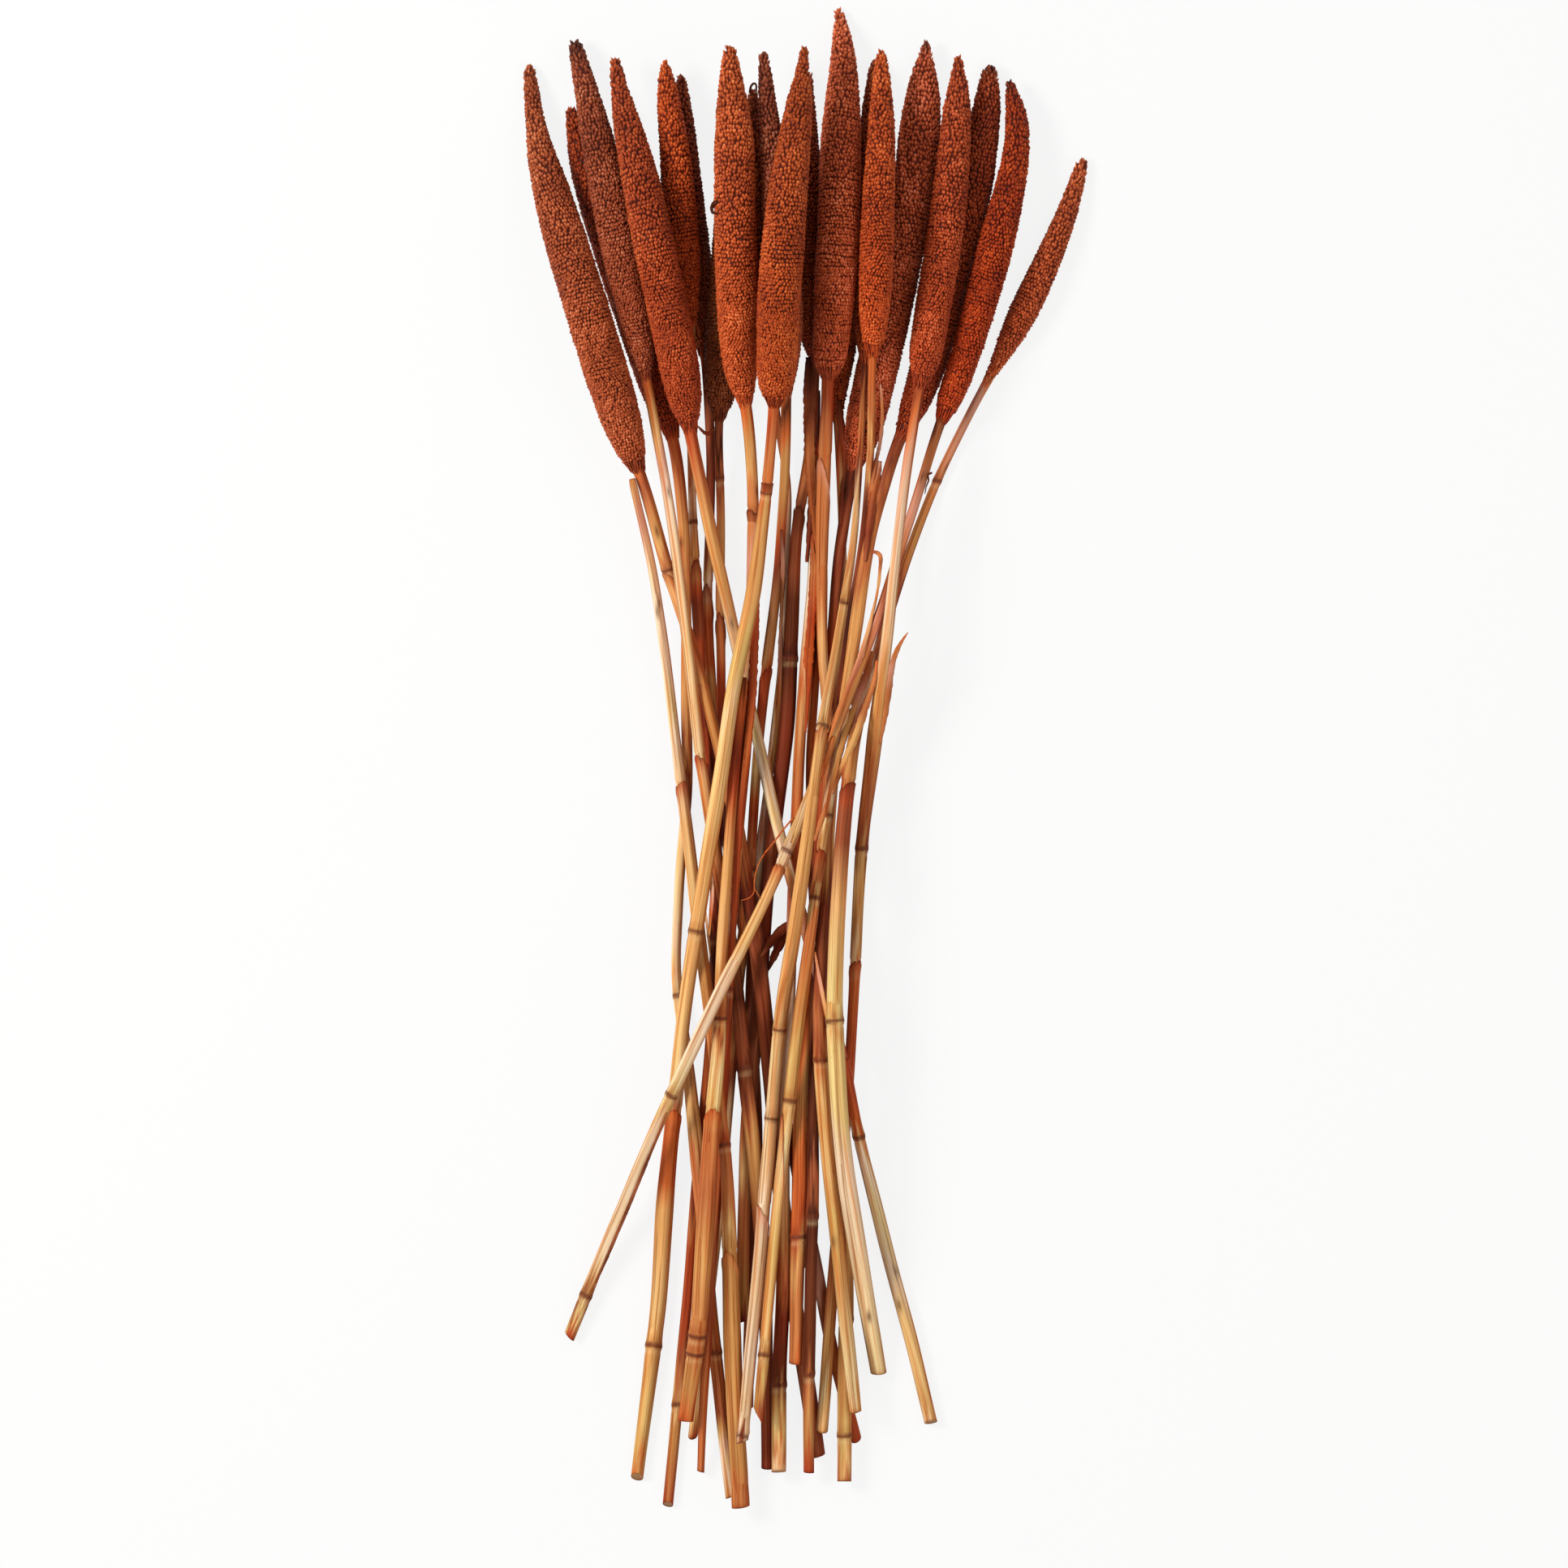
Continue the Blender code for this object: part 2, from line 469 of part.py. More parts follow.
def skin_of(y, x, z, radius):
    """Corners and faces of a round stalk around the line through its rings."""
    middle = np.stack([x, y, z], axis=1)
    along = np.gradient(middle, axis=0)
    along /= np.linalg.norm(along, axis=1)[:, None]
    side = np.cross(along, (0, 0, 1))
    side /= np.linalg.norm(side, axis=1)[:, None]
    up = np.cross(side, along)
    turn = np.arange(SIDES) * 2 * np.pi / SIDES
    around = side[:, None] * np.cos(turn)[:, None] + up[:, None] * np.sin(turn)[:, None]
    corners = middle[:, None] + around * radius[:, None, None]
    faces = [tuple(range(SIDES)), tuple(reversed(range(SIDES * (len(y) - 1), SIDES * len(y))))]
    for ring in range(len(y) - 1):
        for corner in range(SIDES):
            here = ring * SIDES + corner
            beside = ring * SIDES + (corner + 1) % SIDES
            faces.append((beside, here, here + SIDES, beside + SIDES))
    return corners.reshape(-1, 3), faces


def make_material(name, color):
    material = bpy.data.materials.new(name)
    material.use_nodes = True
    shader = material.node_tree.nodes["Principled BSDF"]
    shader.inputs["Base Color"].default_value = (*color, 1)
    shader.inputs["Roughness"].default_value = 0.75
    shader.inputs["Metallic"].default_value = 0
    return material


def make_stalk(name, corners, faces, color):
    mesh = bpy.data.meshes.new(name)
    mesh.from_pydata((corners * MM).tolist(), [], faces)
    mesh.materials.append(make_material(name, color))
    mesh.shade_smooth()
    bpy.context.scene.collection.objects.link(bpy.data.objects.new(name, mesh))


for old in list(bpy.data.objects):
    bpy.data.objects.remove(old)

measures = [measured(stalk) for stalk in STALKS]
skins = []
for stalk, ring_heights in zip(measures, lay(measures)):
    ring_y, ring_x, ring_radius = stalk["rings"]
    skins.append(skin_of(ring_y, ring_x, ring_heights, ring_radius))

# The origin is the middle of the bunch, at the surface that it lies on.
every_corner = np.concatenate([corners for corners, _ in skins])
lowest, highest = every_corner.min(axis=0), every_corner.max(axis=0)
origin = np.array([*(lowest + highest)[:2] / 2, lowest[2]])

for stalk, (corners, faces) in zip(STALKS, skins):
    make_stalk(stalk.name, corners - origin, faces, RUST if stalk.head else STRAW)
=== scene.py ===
"""A loose bunch of dried millet stalks, lying flat: rust-dyed grain heads on straw stems."""

import math
from collections import namedtuple

import bmesh
import bpy
import numpy as np
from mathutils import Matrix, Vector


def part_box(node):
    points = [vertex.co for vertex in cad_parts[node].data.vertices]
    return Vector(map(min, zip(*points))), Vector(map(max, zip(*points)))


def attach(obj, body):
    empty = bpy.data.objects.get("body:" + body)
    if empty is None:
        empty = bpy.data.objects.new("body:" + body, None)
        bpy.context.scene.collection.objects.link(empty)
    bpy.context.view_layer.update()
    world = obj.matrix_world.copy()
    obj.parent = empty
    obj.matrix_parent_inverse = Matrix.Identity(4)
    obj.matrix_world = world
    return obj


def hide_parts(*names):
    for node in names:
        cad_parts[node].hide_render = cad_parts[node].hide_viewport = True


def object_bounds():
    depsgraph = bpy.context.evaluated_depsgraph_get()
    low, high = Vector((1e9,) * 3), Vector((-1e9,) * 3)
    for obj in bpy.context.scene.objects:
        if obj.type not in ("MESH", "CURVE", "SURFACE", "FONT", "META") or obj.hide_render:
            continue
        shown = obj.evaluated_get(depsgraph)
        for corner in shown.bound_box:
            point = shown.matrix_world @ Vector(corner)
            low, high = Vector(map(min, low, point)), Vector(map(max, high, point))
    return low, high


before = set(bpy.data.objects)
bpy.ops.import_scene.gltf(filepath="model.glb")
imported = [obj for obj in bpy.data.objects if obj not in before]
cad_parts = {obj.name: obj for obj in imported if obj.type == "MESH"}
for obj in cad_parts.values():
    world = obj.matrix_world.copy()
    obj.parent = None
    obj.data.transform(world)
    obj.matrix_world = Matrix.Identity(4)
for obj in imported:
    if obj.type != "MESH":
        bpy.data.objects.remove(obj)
cad_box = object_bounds()
bpy.ops.object.select_all(action="DESELECT")

# The bunch lies on a plain pale surface, seen from straight above, with its grain heads away from
# the viewer. A wide soft lamp stands to the left, and a weaker one fills in from the right.

middle = (cad_box[0] + cad_box[1]) / 2
VIEW_WIDTH = 0.5278
VIEW_OFFSET = (-0.0073, -0.0083)
EYE_HEIGHT = 8.0
SENSOR = 36.0

bpy.ops.object.camera_add(location=(middle.x + VIEW_OFFSET[0], middle.y + VIEW_OFFSET[1], EYE_HEIGHT))
camera = bpy.context.object
camera.data.sensor_width = SENSOR
camera.data.lens = SENSOR * (EYE_HEIGHT - middle.z) / VIEW_WIDTH
bpy.context.scene.camera = camera


def add_lamp(place, size, power):
    """A square soft lamp that faces the middle of the bunch."""
    bpy.ops.object.light_add(type="AREA", location=place)
    lamp = bpy.context.object
    lamp.data.size = size
    lamp.data.energy = power
    lamp.rotation_euler = (middle - lamp.location).to_track_quat("-Z", "Y").to_euler()


add_lamp(place=(-1.0, 0.35, 1.1), size=0.5, power=16.5)
add_lamp(place=(0.9, -0.2, 1.3), size=1.2, power=3.2)

FLOOR_SIZE = 8.0
FLOOR_HEIGHT = -0.0002
bpy.ops.mesh.primitive_plane_add(size=FLOOR_SIZE, location=(middle.x, middle.y, FLOOR_HEIGHT))
floor = bpy.context.object
floor.name = "floor"

bpy.context.scene.view_settings.view_transform = "Standard"


class Socket:
    """An output of a material's node. Sums and products of it add the nodes that work them out."""

    def __init__(self, tree, output):
        self.tree = tree
        self.output = output

    def node(self, kind, settings=(), inputs=(), output=0):
        """Adds a node, with its settings and the values or links of its sockets."""
        made = self.tree.nodes.new("ShaderNode" + kind)
        for name, value in dict(settings).items():
            if name == "stops":
                while len(made.color_ramp.elements) < len(value):
                    made.color_ramp.elements.new(0.5)
                for element, (place, color) in zip(made.color_ramp.elements, value):
                    element.position = place
                    element.color = (*color, 1)
            else:
                setattr(made, name, value)
        for name, value in dict(inputs).items():
            if isinstance(value, Socket):
                self.tree.links.new(value.output, made.inputs[name])
            else:
                made.inputs[name].default_value = value
        return Socket(self.tree, None if output is None else made.outputs[output])

    def math(self, operation, first, second=0.0):
        return self.node("Math", {"operation": operation}, {0: first, 1: second})

    def __add__(self, other):
        return self.math("ADD", self, other)

    def __sub__(self, other):
        return self.math("SUBTRACT", self, other)

    def __rsub__(self, other):
        return self.math("SUBTRACT", other, self)

    def __mul__(self, other):
        return self.math("MULTIPLY", self, other)

    __radd__ = __add__
    __rmul__ = __mul__

    def above(self, low, high):
        """0 below low, 1 above high, and an even slope between them."""
        return self.node("MapRange", {"clamp": True}, {0: self, 1: low, 2: high})

    def blend(self, share, color, way="MIX"):
        """This colour mixed with another one by a share, or multiplied by it."""
        settings = {"data_type": "RGBA", "blend_type": way}
        return self.node("Mix", settings, {0: share, 6: self, 7: color}, 2)

    def carried(self, name, output="Fac"):
        """What the piece's mesh carries under this name."""
        return self.node("Attribute", {"attribute_name": name}, output=output)

    def show(self, kind, inputs, ending="OutputMaterial"):
        """Ends the material in a shader of this kind."""
        self.node(ending, (), {"Surface": self.node(kind, (), inputs)}, None)


def reckon(owner):
    """A socket to reckon from, in the emptied tree of a material or of the world."""
    owner.use_nodes = True
    owner.node_tree.nodes.clear()
    return Socket(owner.node_tree, None)


def linear(red, green, blue):
    """A colour that is written in 0 to 255 steps, as light shares."""
    shares = np.array((red, green, blue)) / 255
    return tuple(np.where(shares < 0.04045, shares / 12.92, ((shares + 0.055) / 1.055) ** 2.4))


def seen_directly(start):
    """1 for rays from the eye, from a shiny surface or through a clear one, and 0 for the rest."""
    eye, shine, through = (
        start.node("LightPath", output=f"Is {kind} Ray") for kind in ("Camera", "Glossy", "Transmission"))
    return start.math("MAXIMUM", start.math("MAXIMUM", eye, shine), through)


# The surface and the room show white to the eye and in reflections; the surface keeps the shadow.
FLOOR_COLOR = linear(236, 235, 233)
FLOOR_GLOW = 0.85
ROOM_COLOR = (1.0, 0.99, 0.97)
ROOM_LIGHT = 0.5
WHITE = {"Color": (1, 1, 1, 1), "Strength": 1.0}

pale_surface = bpy.data.materials.new("pale_surface")
start = reckon(pale_surface)
paint = start.node("BsdfDiffuse", (), {"Color": (*FLOOR_COLOR, 1)})
glow = start.node("Emission", (), WHITE)
start.show("MixShader", {0: seen_directly(start) * FLOOR_GLOW, 1: paint, 2: glow})
floor.data.materials.append(pale_surface)

bpy.context.scene.world = bpy.data.worlds.new("studio")
start = reckon(bpy.context.scene.world)
room = start.node("Background", (), {"Color": (*ROOM_COLOR, 1), "Strength": ROOM_LIGHT})
white = start.node("Background", (), WHITE)
start.show("MixShader", {0: seen_directly(start), 1: room, 2: white}, "OutputWorld")

# Each stalk grew as one line, from the tip of its grain head to its cut end. Its line and its
# thickness come from slices through its solid, every few millimetres along the bunch.

# From here on, a length that isn't multiplied by MM is in millimetres.
MM = 0.001
SLICE = 2 * MM
END_ROOM = 2.4 * MM
EASE_LINE = 3.5
EASE_WIDTH = 1.0
TIP_NARROWS = 0.8


def eased(values, reach):
    """Values along a line, each one averaged with those near it, with both ends kept."""
    span = int(4 * reach)
    weights = np.exp(-0.5 * (np.arange(-span, span + 1) / reach) ** 2)
    before = 2 * values[0] - values[span:0:-1]
    after = 2 * values[-1] - values[-2:-span - 2:-1]
    return np.convolve(np.concatenate([before, values, after]), weights / weights.sum(), "valid")


def unit(ways):
    """These directions, each one made a unit long."""
    return ways / np.linalg.norm(ways, axis=-1)[..., None]


def walked(steps):
    """How far each point of a line is from its first, by the steps between them."""
    return np.concatenate([[0], np.cumsum(np.linalg.norm(steps, axis=1))])


def between(at, places, rows):
    """What rows of values, one for each of some places along a line, come to at other places."""
    return np.stack([np.interp(at, places, column) for column in rows.T], axis=-1)


def outward(side, up, turn):
    """The ways out from a line at these turns round it."""
    return side * np.cos(turn)[:, None] + up * np.sin(turn)[:, None]


class Line:
    """A stalk's line from tip to cut end, with its radius, by the distance along it in metres."""

    def __init__(self, node):
        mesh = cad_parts[node].data
        places = np.array([vertex.co for vertex in mesh.vertices])
        edges = np.array([edge.vertices[:] for edge in mesh.edges])
        first, second = places[edges].transpose(1, 0, 2)
        tip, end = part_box(node)[1].y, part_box(node)[0].y
        levels = np.linspace(tip - END_ROOM, end + END_ROOM, round((tip - end) / SLICE))
        middles = []
        halves = []
        for level in levels:
            cut = (first[:, 1] - level) * (second[:, 1] - level) < 0
            share = (level - first[cut, 1]) / (second[cut, 1] - first[cut, 1])
            points = first[cut] + (second[cut] - first[cut]) * share[:, None]
            middles.append((points.max(axis=0) + points.min(axis=0)) / 2)
            halves.append((points[:, 0].max() - points[:, 0].min()) / 2)
        middles = np.array(middles)
        middles[:, 1] = levels
        slant = np.gradient(middles[:, 0], levels)
        radius = eased(np.array(halves) / np.sqrt(1 + slant**2), EASE_WIDTH)
        middles[:, 0] = eased(middles[:, 0], EASE_LINE)
        middles[:, 2] = eased(middles[:, 2], EASE_LINE)
        to_end = END_ROOM / (levels[0] - levels[1])
        start = middles[0] + (middles[0] - middles[1]) * to_end
        stop = middles[-1] + (middles[-1] - middles[-2]) * to_end
        self.middles = np.concatenate([[start], middles, [stop]])
        self.radii = np.concatenate([[radius[0] * TIP_NARROWS], radius, [radius[-1]]])
        self.walk = walked(np.diff(self.middles, axis=0))
        self.length = self.walk[-1]

    def at(self, distance):
        """The points of the line at these distances from the tip."""
        return between(distance, self.walk, self.middles)

    def radius(self, distance):
        return np.interp(distance, self.walk, self.radii)

    def level(self, y):
        """The distances from the tip of the places at these Y."""
        return np.interp(-np.array(y), -self.middles[:, 1], self.walk)

    def directions(self, distance):
        """Along the line from tip to end, sideways over the surface, and up, at these distances."""
        along = unit(self.at(distance + MM) - self.at(distance - MM))
        side = unit(np.cross(along, (0, 0, 1)))
        return along, side, np.cross(side, along)


lines = {node: Line(node) for node in sorted(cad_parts)}


def stalk(short):
    """The full name of a millet stalk, by its number, or of a bare one, by a b and its number."""
    return f"bare_stalk_{short[1:]}" if short.startswith("b") else f"millet_stalk_{short}"


def add_piece(name, mesh):
    piece = bpy.data.objects.new(name, mesh)
    bpy.context.scene.collection.objects.link(piece)
    return piece


def fill_mesh(name, corners, faces):
    """A piece from arrays of corners and of faces."""
    mesh = bpy.data.meshes.new(name)
    mesh.from_pydata(corners.tolist(), [], faces.tolist())
    return add_piece(name, mesh)


def give(piece, name, kind, values):
    """Stores a value for each corner of a piece, for its material to read."""
    field = {"FLOAT": "value", "FLOAT_VECTOR": "vector", "FLOAT_COLOR": "color"}[kind]
    if kind == "FLOAT_COLOR":
        values = np.concatenate([values, np.ones((len(values), 1))], axis=1)
    stored = piece.data.attributes.new(name, kind, "POINT")
    stored.data.foreach_set(field, values.astype(np.float32).ravel())


# The grain heads are dyed rust all through, and the dye took a little differently on each one.
# Seen close, each grain has a painted highlight at its rounded end and painted shade in the dark gaps round
# its foot.

PATCH_SCALE = 55.0
SPECK_SCALE = 1400.0
# The rust colours, from the painted shade of the gaps between grains to the painted highlight on their ends.
GRAIN_RUST_AND_PAINTED_SHADE = [
    (0.22, linear(54, 17, 5)), (0.62, linear(122, 44, 15)), (0.85, linear(202, 95, 45)),
    (1.0, linear(250, 160, 106)),
]

rust_grain = bpy.data.materials.new("rust_grain")
start = reckon(rust_grain)
# This value carries each grain's painted highlight and painted shade.
tip = start.carried("grain_end")
tone = start.carried("grain_tone")
cast = start.carried("grain_cast", "Color")
place = start.node("TexCoord", output="Object")
patch = start.node("TexNoise", (), {"Vector": place, "Scale": PATCH_SCALE, "Detail": 3.0})
speck = start.node("TexNoise", (), {"Vector": place, "Scale": SPECK_SCALE, "Detail": 2.0})
lightness = tip * 0.87 + tone * 0.15 + (patch - 0.5) * 0.3 + (speck - 0.5) * 0.15
depth = start.node("ValToRGB", {"stops": GRAIN_RUST_AND_PAINTED_SHADE}, {"Fac": lightness})
start.show("BsdfPrincipled", {
    "Base Color": depth.blend(1.0, cast, "MULTIPLY"), "Roughness": speck * 0.2 + 0.5,
    "Specular IOR Level": 0.2,
})

# A grain head is a spike with some three thousand grains, packed in rows round its core. Near the
# tip they are long and lie along it, then they turn outwards into round beads, and round the foot
# they thin out into a frayed collar of short bristles.

DOME = 1.2 * MM
FIRST_ROW = 0.25
LEAST_GRAINS = 4
GRAIN_WIDTH = 0.62
GRAIN_PROUD = 0.2
PROUD_STRAY = 0.09
LEAN_STRAY = 7
CORE_RINGS = 60
CORE_SIDES = 14
CORE_START = 0.4 * MM
CORE_DEPTH = 0.5 * MM
WAVES = 7
WAVE_HEIGHT = 0.12
STRAY = 0.14
BEAD_FROM = 0.52
BEAD_BLEND = 0.05
WHORL = 0.75
WHORL_LEAN = 0.35
WHORL_FROM = 0.4
FRAY_LENGTH = 3.6
FRAY_NARROWS = 0.55
FRAY_SINKS = 0.25
FUNNEL_RISE = 0.12
FRAY_LIGHT = 0.2
THORN_SHARE = 0.45
THORN_LENGTH = 5.0 * MM
THORN_LEAN = 22
THORN_LONGER = 0.5
THORN_NARROWS = 0.35
BURN = 0.6
TIP_CAST = np.array((0.97, 1.10, 1.18))
FOOT_CAST = np.array((1.03, 0.94, 0.86))

# Down the head from tip to foot: the room for a grain round the head and along it, how far it
# leans from straight out towards the tip in degrees, its half length, its spread round the head,
# and how much more it strays.
ROOM_ROUND = ((0, 0.3, 0.5, 0.75, 1), (1.2, 1.18, 1.1, 0.98, 1.0))
ROOM_ALONG = ((0, 0.3, 0.5, 0.75, 1), (1.45, 1.35, 1.2, 1.04, 1.0))
GRAIN_LEAN = ((0, 0.05, 0.25, 0.5, 0.75, 0.92, 1), (84, 76, 68, 61, 54, 40, 10))
GRAIN_REACH = ((0, 0.1, 0.3, 0.5, 0.75, 1), (1.35, 1.3, 1.2, 1.05, 1.0, 1.0))
BEAD_SPREAD = ((0, 0.5, 0.75, 1), (1.1, 1.35, 1.7, 1.3))
STRAY_MORE = ((0, 0.45, 0.6), (1.9, 1.5, 1.0))

# Each head's length along the bunch in millimetres, its own cast of the rust dye, and how far down
# its tip is scorched dark, in millimetres.
Head = namedtuple("Head", "length cast burnt", defaults=(0,))
HEADS = {
    "01": Head(135.5, (0.86, 0.87, 1.02)),
    "02": Head(109.5, (0.68, 0.43, 0.27)),
    "03": Head(113.5, (0.66, 0.64, 0.84), 6.5),
    "04": Head(124.5, (0.81, 0.59, 0.47)),
    "05": Head(89, (1.08, 0.75, 0.43)),
    "06": Head(94.5, (0.62, 0.5, 0.46)),
    "07": Head(119, (1.07, 0.91, 0.76)),
    "08": Head(103.5, (0.76, 0.62, 0.56)),
    "09": Head(114.5, (0.62, 0.62, 0.89)),
    "10": Head(119.5, (0.88, 0.68, 0.41)),
    "11": Head(97, (0.81, 0.65, 0.55)),
    "12": Head(123, (1.18, 1.08, 1.36)),
    "13": Head(101.5, (0.78, 0.66, 0.59)),
    "14": Head(101, (1.05, 0.77, 0.48)),
    "15": Head(143, (1.2, 1.1, 1.5), 3.0),
    "16": Head(110.5, (0.94, 0.69, 0.62)),
    "17": Head(124.5, (0.7, 0.46, 0.35), 3.5),
    "18": Head(113, (0.81, 0.43, 0.17), 5.0),
    "19": Head(76, (1.01, 0.9, 0.92)),
    "20": Head(110, (0.46, 0.48, 0.42)),
    "21": Head(99.5, (0.66, 0.44, 0.21)),
}


def corners_and_faces(piece):
    """A small piece's corners and its faces as triangles, taken from the object, which goes."""
    corners = np.array([vertex.co for vertex in piece.data.vertices])
    faces = [face.vertices[:] for face in piece.data.polygons]
    bpy.data.objects.remove(piece)
    return corners, np.array([(f[0], f[i], f[i + 1]) for f in faces for i in range(1, len(f) - 1)])


# A long grain is a drop with five sides; a bead is a low knob with six.
bpy.ops.mesh.primitive_uv_sphere_add(segments=5, ring_count=3, radius=1.0)
LONG_GRAIN, LONG_FACES = corners_and_faces(bpy.context.object)
LONG_GRAIN *= (1.02, 1.02, 1.0)
LONG_GRAIN[:, 2] += 0.06
bpy.ops.mesh.primitive_cone_add(vertices=6, radius1=1.0, radius2=0.0, depth=2.0, end_fill_type="TRIFAN")
BEAD, BEAD_FACES = corners_and_faces(bpy.context.object)
BEAD *= (1.04, 1.04, 1.0)
BEAD[np.hypot(BEAD[:, 0], BEAD[:, 1]) > 0.5, 2] = 0.35


def dome(distance):
    """The share of its full girth that a head has this near to its rounded tip."""
    return np.sqrt(1 - (1 - np.clip(distance / DOME, 0, 1)) ** 2)


def plan_rows(line, length):
    """Where the grains sit down and round a head; each row is half a grain out of step."""
    distance = []
    turn = []
    here = FIRST_ROW
    phase = 0.0
    while here < length / MM:
        part = here * MM / length
        girth = 2 * math.pi * line.radius(here * MM) * dome(here * MM)
        count = max(int(girth / MM / np.interp(part, *ROOM_ROUND)), LEAST_GRAINS)
        phase += math.pi / count
        turn.append(phase + np.arange(count) * 2 * math.pi / count)
        distance.append(np.full(count, here))
        here += np.interp(part, *ROOM_ALONG)
    return np.concatenate(distance), np.concatenate(turn)


def head_core(line, length):
    """The corners and the faces of the closed core that fills a head under its grains."""
    rings = np.linspace(CORE_START, length, CORE_RINGS)
    radius = np.maximum(line.radius(rings) - CORE_DEPTH, 0.6 * line.radius(rings)) * dome(rings)
    _, side, up = line.directions(rings)
    spokes = outward(side[:, None], up[:, None], np.arange(CORE_SIDES) * 2 * np.pi / CORE_SIDES)
    corners = (line.at(rings)[:, None] + spokes * radius[:, None, None]).reshape(-1, 3)
    corners = np.concatenate([corners, line.at(rings[[0, -1]])])
    grid = np.arange(CORE_RINGS * CORE_SIDES).reshape(CORE_RINGS, CORE_SIDES)
    here, below = grid[:-1], grid[1:]
    after, below_after = np.roll(here, -1, axis=1), np.roll(below, -1, axis=1)
    tip, foot = np.full(CORE_SIDES, grid.size), np.full(CORE_SIDES, grid.size + 1)
    faces = np.concatenate([np.stack([piece.ravel() for piece in three], axis=1) for three in (
        (after, here, below), (after, below, below_after),
        (grid[0], after[0], tip), (below_after[-1], grid[-1], foot))])
    return corners, faces


def grow_head(node, line, length, head, chance):
    """The core and the grains of one head, as one piece."""
    distance, turn = plan_rows(line, length)
    count = len(distance)

    # Slow waves pull the rows about, and each grain strays a little by itself.
    drift = chance.normal(0, STRAY, (2, count)) * np.interp(distance / (length / MM), *STRAY_MORE)
    for pace, spin, *starts in zip(
            chance.normal(0, 0.5, WAVES), chance.integers(-3, 4, WAVES), *chance.uniform(0, 6.3, (2, WAVES))):
        drift += np.sin(distance * pace + turn * spin + np.array(starts)[:, None]) * WAVE_HEIGHT
    turn = turn + drift[1] * MM / np.maximum(line.radius(distance * MM), 2 * MM)
    distance = np.clip((distance + drift[0]) * MM, 0.2 * MM, length)
    part = distance / length
    along, side, up = line.directions(distance)
    out = outward(side, up, turn)
    round_way = np.cross(along, out)

    # In the last few millimetres above the stem the grains give way to bristles, which lie on the
    # funnel that the head narrows to. At the very tip some grains stick out like thorns.
    fray = (length - distance) / MM < FRAY_LENGTH * chance.uniform(0.75, 1.25, count)
    thorny = chance.uniform(0, 1, count) < THORN_SHARE * np.exp(-distance / THORN_LENGTH)
    whorl = np.sin(distance / MM * 0.31 + turn + chance.uniform(0, 6.3))
    whorl = (whorl + np.sin(distance / MM * 0.17 - 2 * turn + chance.uniform(0, 6.3))) * 0.5 * WHORL
    lean = np.interp(part, *GRAIN_LEAN) - THORN_LEAN * thorny + chance.normal(0, LEAN_STRAY, count)
    reach = np.interp(part, *GRAIN_REACH) * chance.normal(1, 0.1, count)
    reach *= (1 + fray) * (1 + THORN_LONGER * thorny)
    wide = GRAIN_WIDTH * np.interp(part, *ROOM_ROUND) * chance.normal(1, 0.08, count)
    wide *= (1 - FRAY_NARROWS * fray) * (1 - THORN_NARROWS * thorny)
    spread = wide * (1 + (np.interp(part, *BEAD_SPREAD) - 1) * (1 - fray))
    point = outward(out, -along, np.radians(lean))
    point += round_way * (chance.normal(0, 0.1, count) + WHORL_LEAN * whorl * (1 - fray))[:, None]
    slope = (line.radius(distance + MM) - line.radius(distance - MM)) / (2 * MM)
    point = np.where(fray[:, None], unit(along + out * (slope + FUNNEL_RISE)[:, None]), unit(point))
    across = unit(np.cross(point, round_way))
    beside = np.cross(across, point)
    turned = whorl * np.clip((part - WHORL_FROM) * 5, 0, 1) * (1 - fray)
    axes = np.stack([outward(across, beside, turned), outward(beside, -across, turned), point], axis=1)
    rise = np.maximum(np.einsum("nk,nk->n", point, out), 0.05)
    skin = line.radius(distance) * dome(distance) / MM + GRAIN_PROUD
    skin += chance.normal(0, PROUD_STRAY, count) - FRAY_SINKS * fray
    middle_out = np.maximum(skin - np.hypot(reach * rise, wide * np.sqrt(1 - rise**2)), 0.1) * MM
    root = line.at(distance) + out * middle_out[:, None]
    sizes = np.stack([spread, wide, reach], axis=1) * MM
    tone = chance.uniform(0, 1, count)
    long = (part + chance.normal(0, BEAD_BLEND, count) < BEAD_FROM) | fray

    # Painted light: a grain is painted light on its ridge and at its outer end as a highlight, and painted
    # dark at its foot and down its sides as shade.
    grown = []
    for shape, faces, kept in (LONG_GRAIN, LONG_FACES, long), (BEAD, BEAD_FACES, ~long):
        reached = np.einsum("nck,nkx->ncx", shape[None] * sizes[kept][:, None], axes[kept])
        corners = root[kept][:, None] + reached
        ridge = np.einsum("nck,nk->nc", corners - root[kept][:, None], out[kept])
        ridge /= np.abs(ridge).max(axis=1)[:, None]
        ends = (ridge + shape[:, 2] + 2) / 4 + FRAY_LIGHT * fray[kept][:, None]
        copies = faces[None] + (np.arange(len(corners)) * len(shape))[:, None, None]
        tones, parts = (np.repeat(values[kept], len(shape)) for values in (tone, part))
        grown.append((corners.reshape(-1, 3), copies.reshape(-1, 3), ends.ravel(), tones, parts))
    core, core_faces = head_core(line, length)
    # The core fills the gaps between the grains and takes their painted shade.
    grown.append((core, core_faces, *(np.full(len(core), value) for value in (0.4, 0.3, 0.5))))
    before = np.cumsum([0] + [len(piece[0]) for piece in grown])
    faces = np.concatenate([piece[1] + first for piece, first in zip(grown, before)])
    corners, _, ends, tones, parts = (np.concatenate(values) for values in zip(*grown))
    casts = (TIP_CAST + (FOOT_CAST - TIP_CAST) * parts[:, None]) * head.cast
    if head.burnt:
        casts *= 1 - BURN * np.exp(-(parts[:, None] * length / MM / head.burnt) ** 2)
    piece = fill_mesh(f"{node}_head", corners, faces)
    piece.data.shade_smooth()
    piece.data.materials.append(rust_grain)
    give(piece, "grain_end", "FLOAT", ends)
    give(piece, "grain_tone", "FLOAT", tones)
    give(piece, "grain_cast", "FLOAT_COLOR", casts)
    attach(piece, "root")
    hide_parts(node)


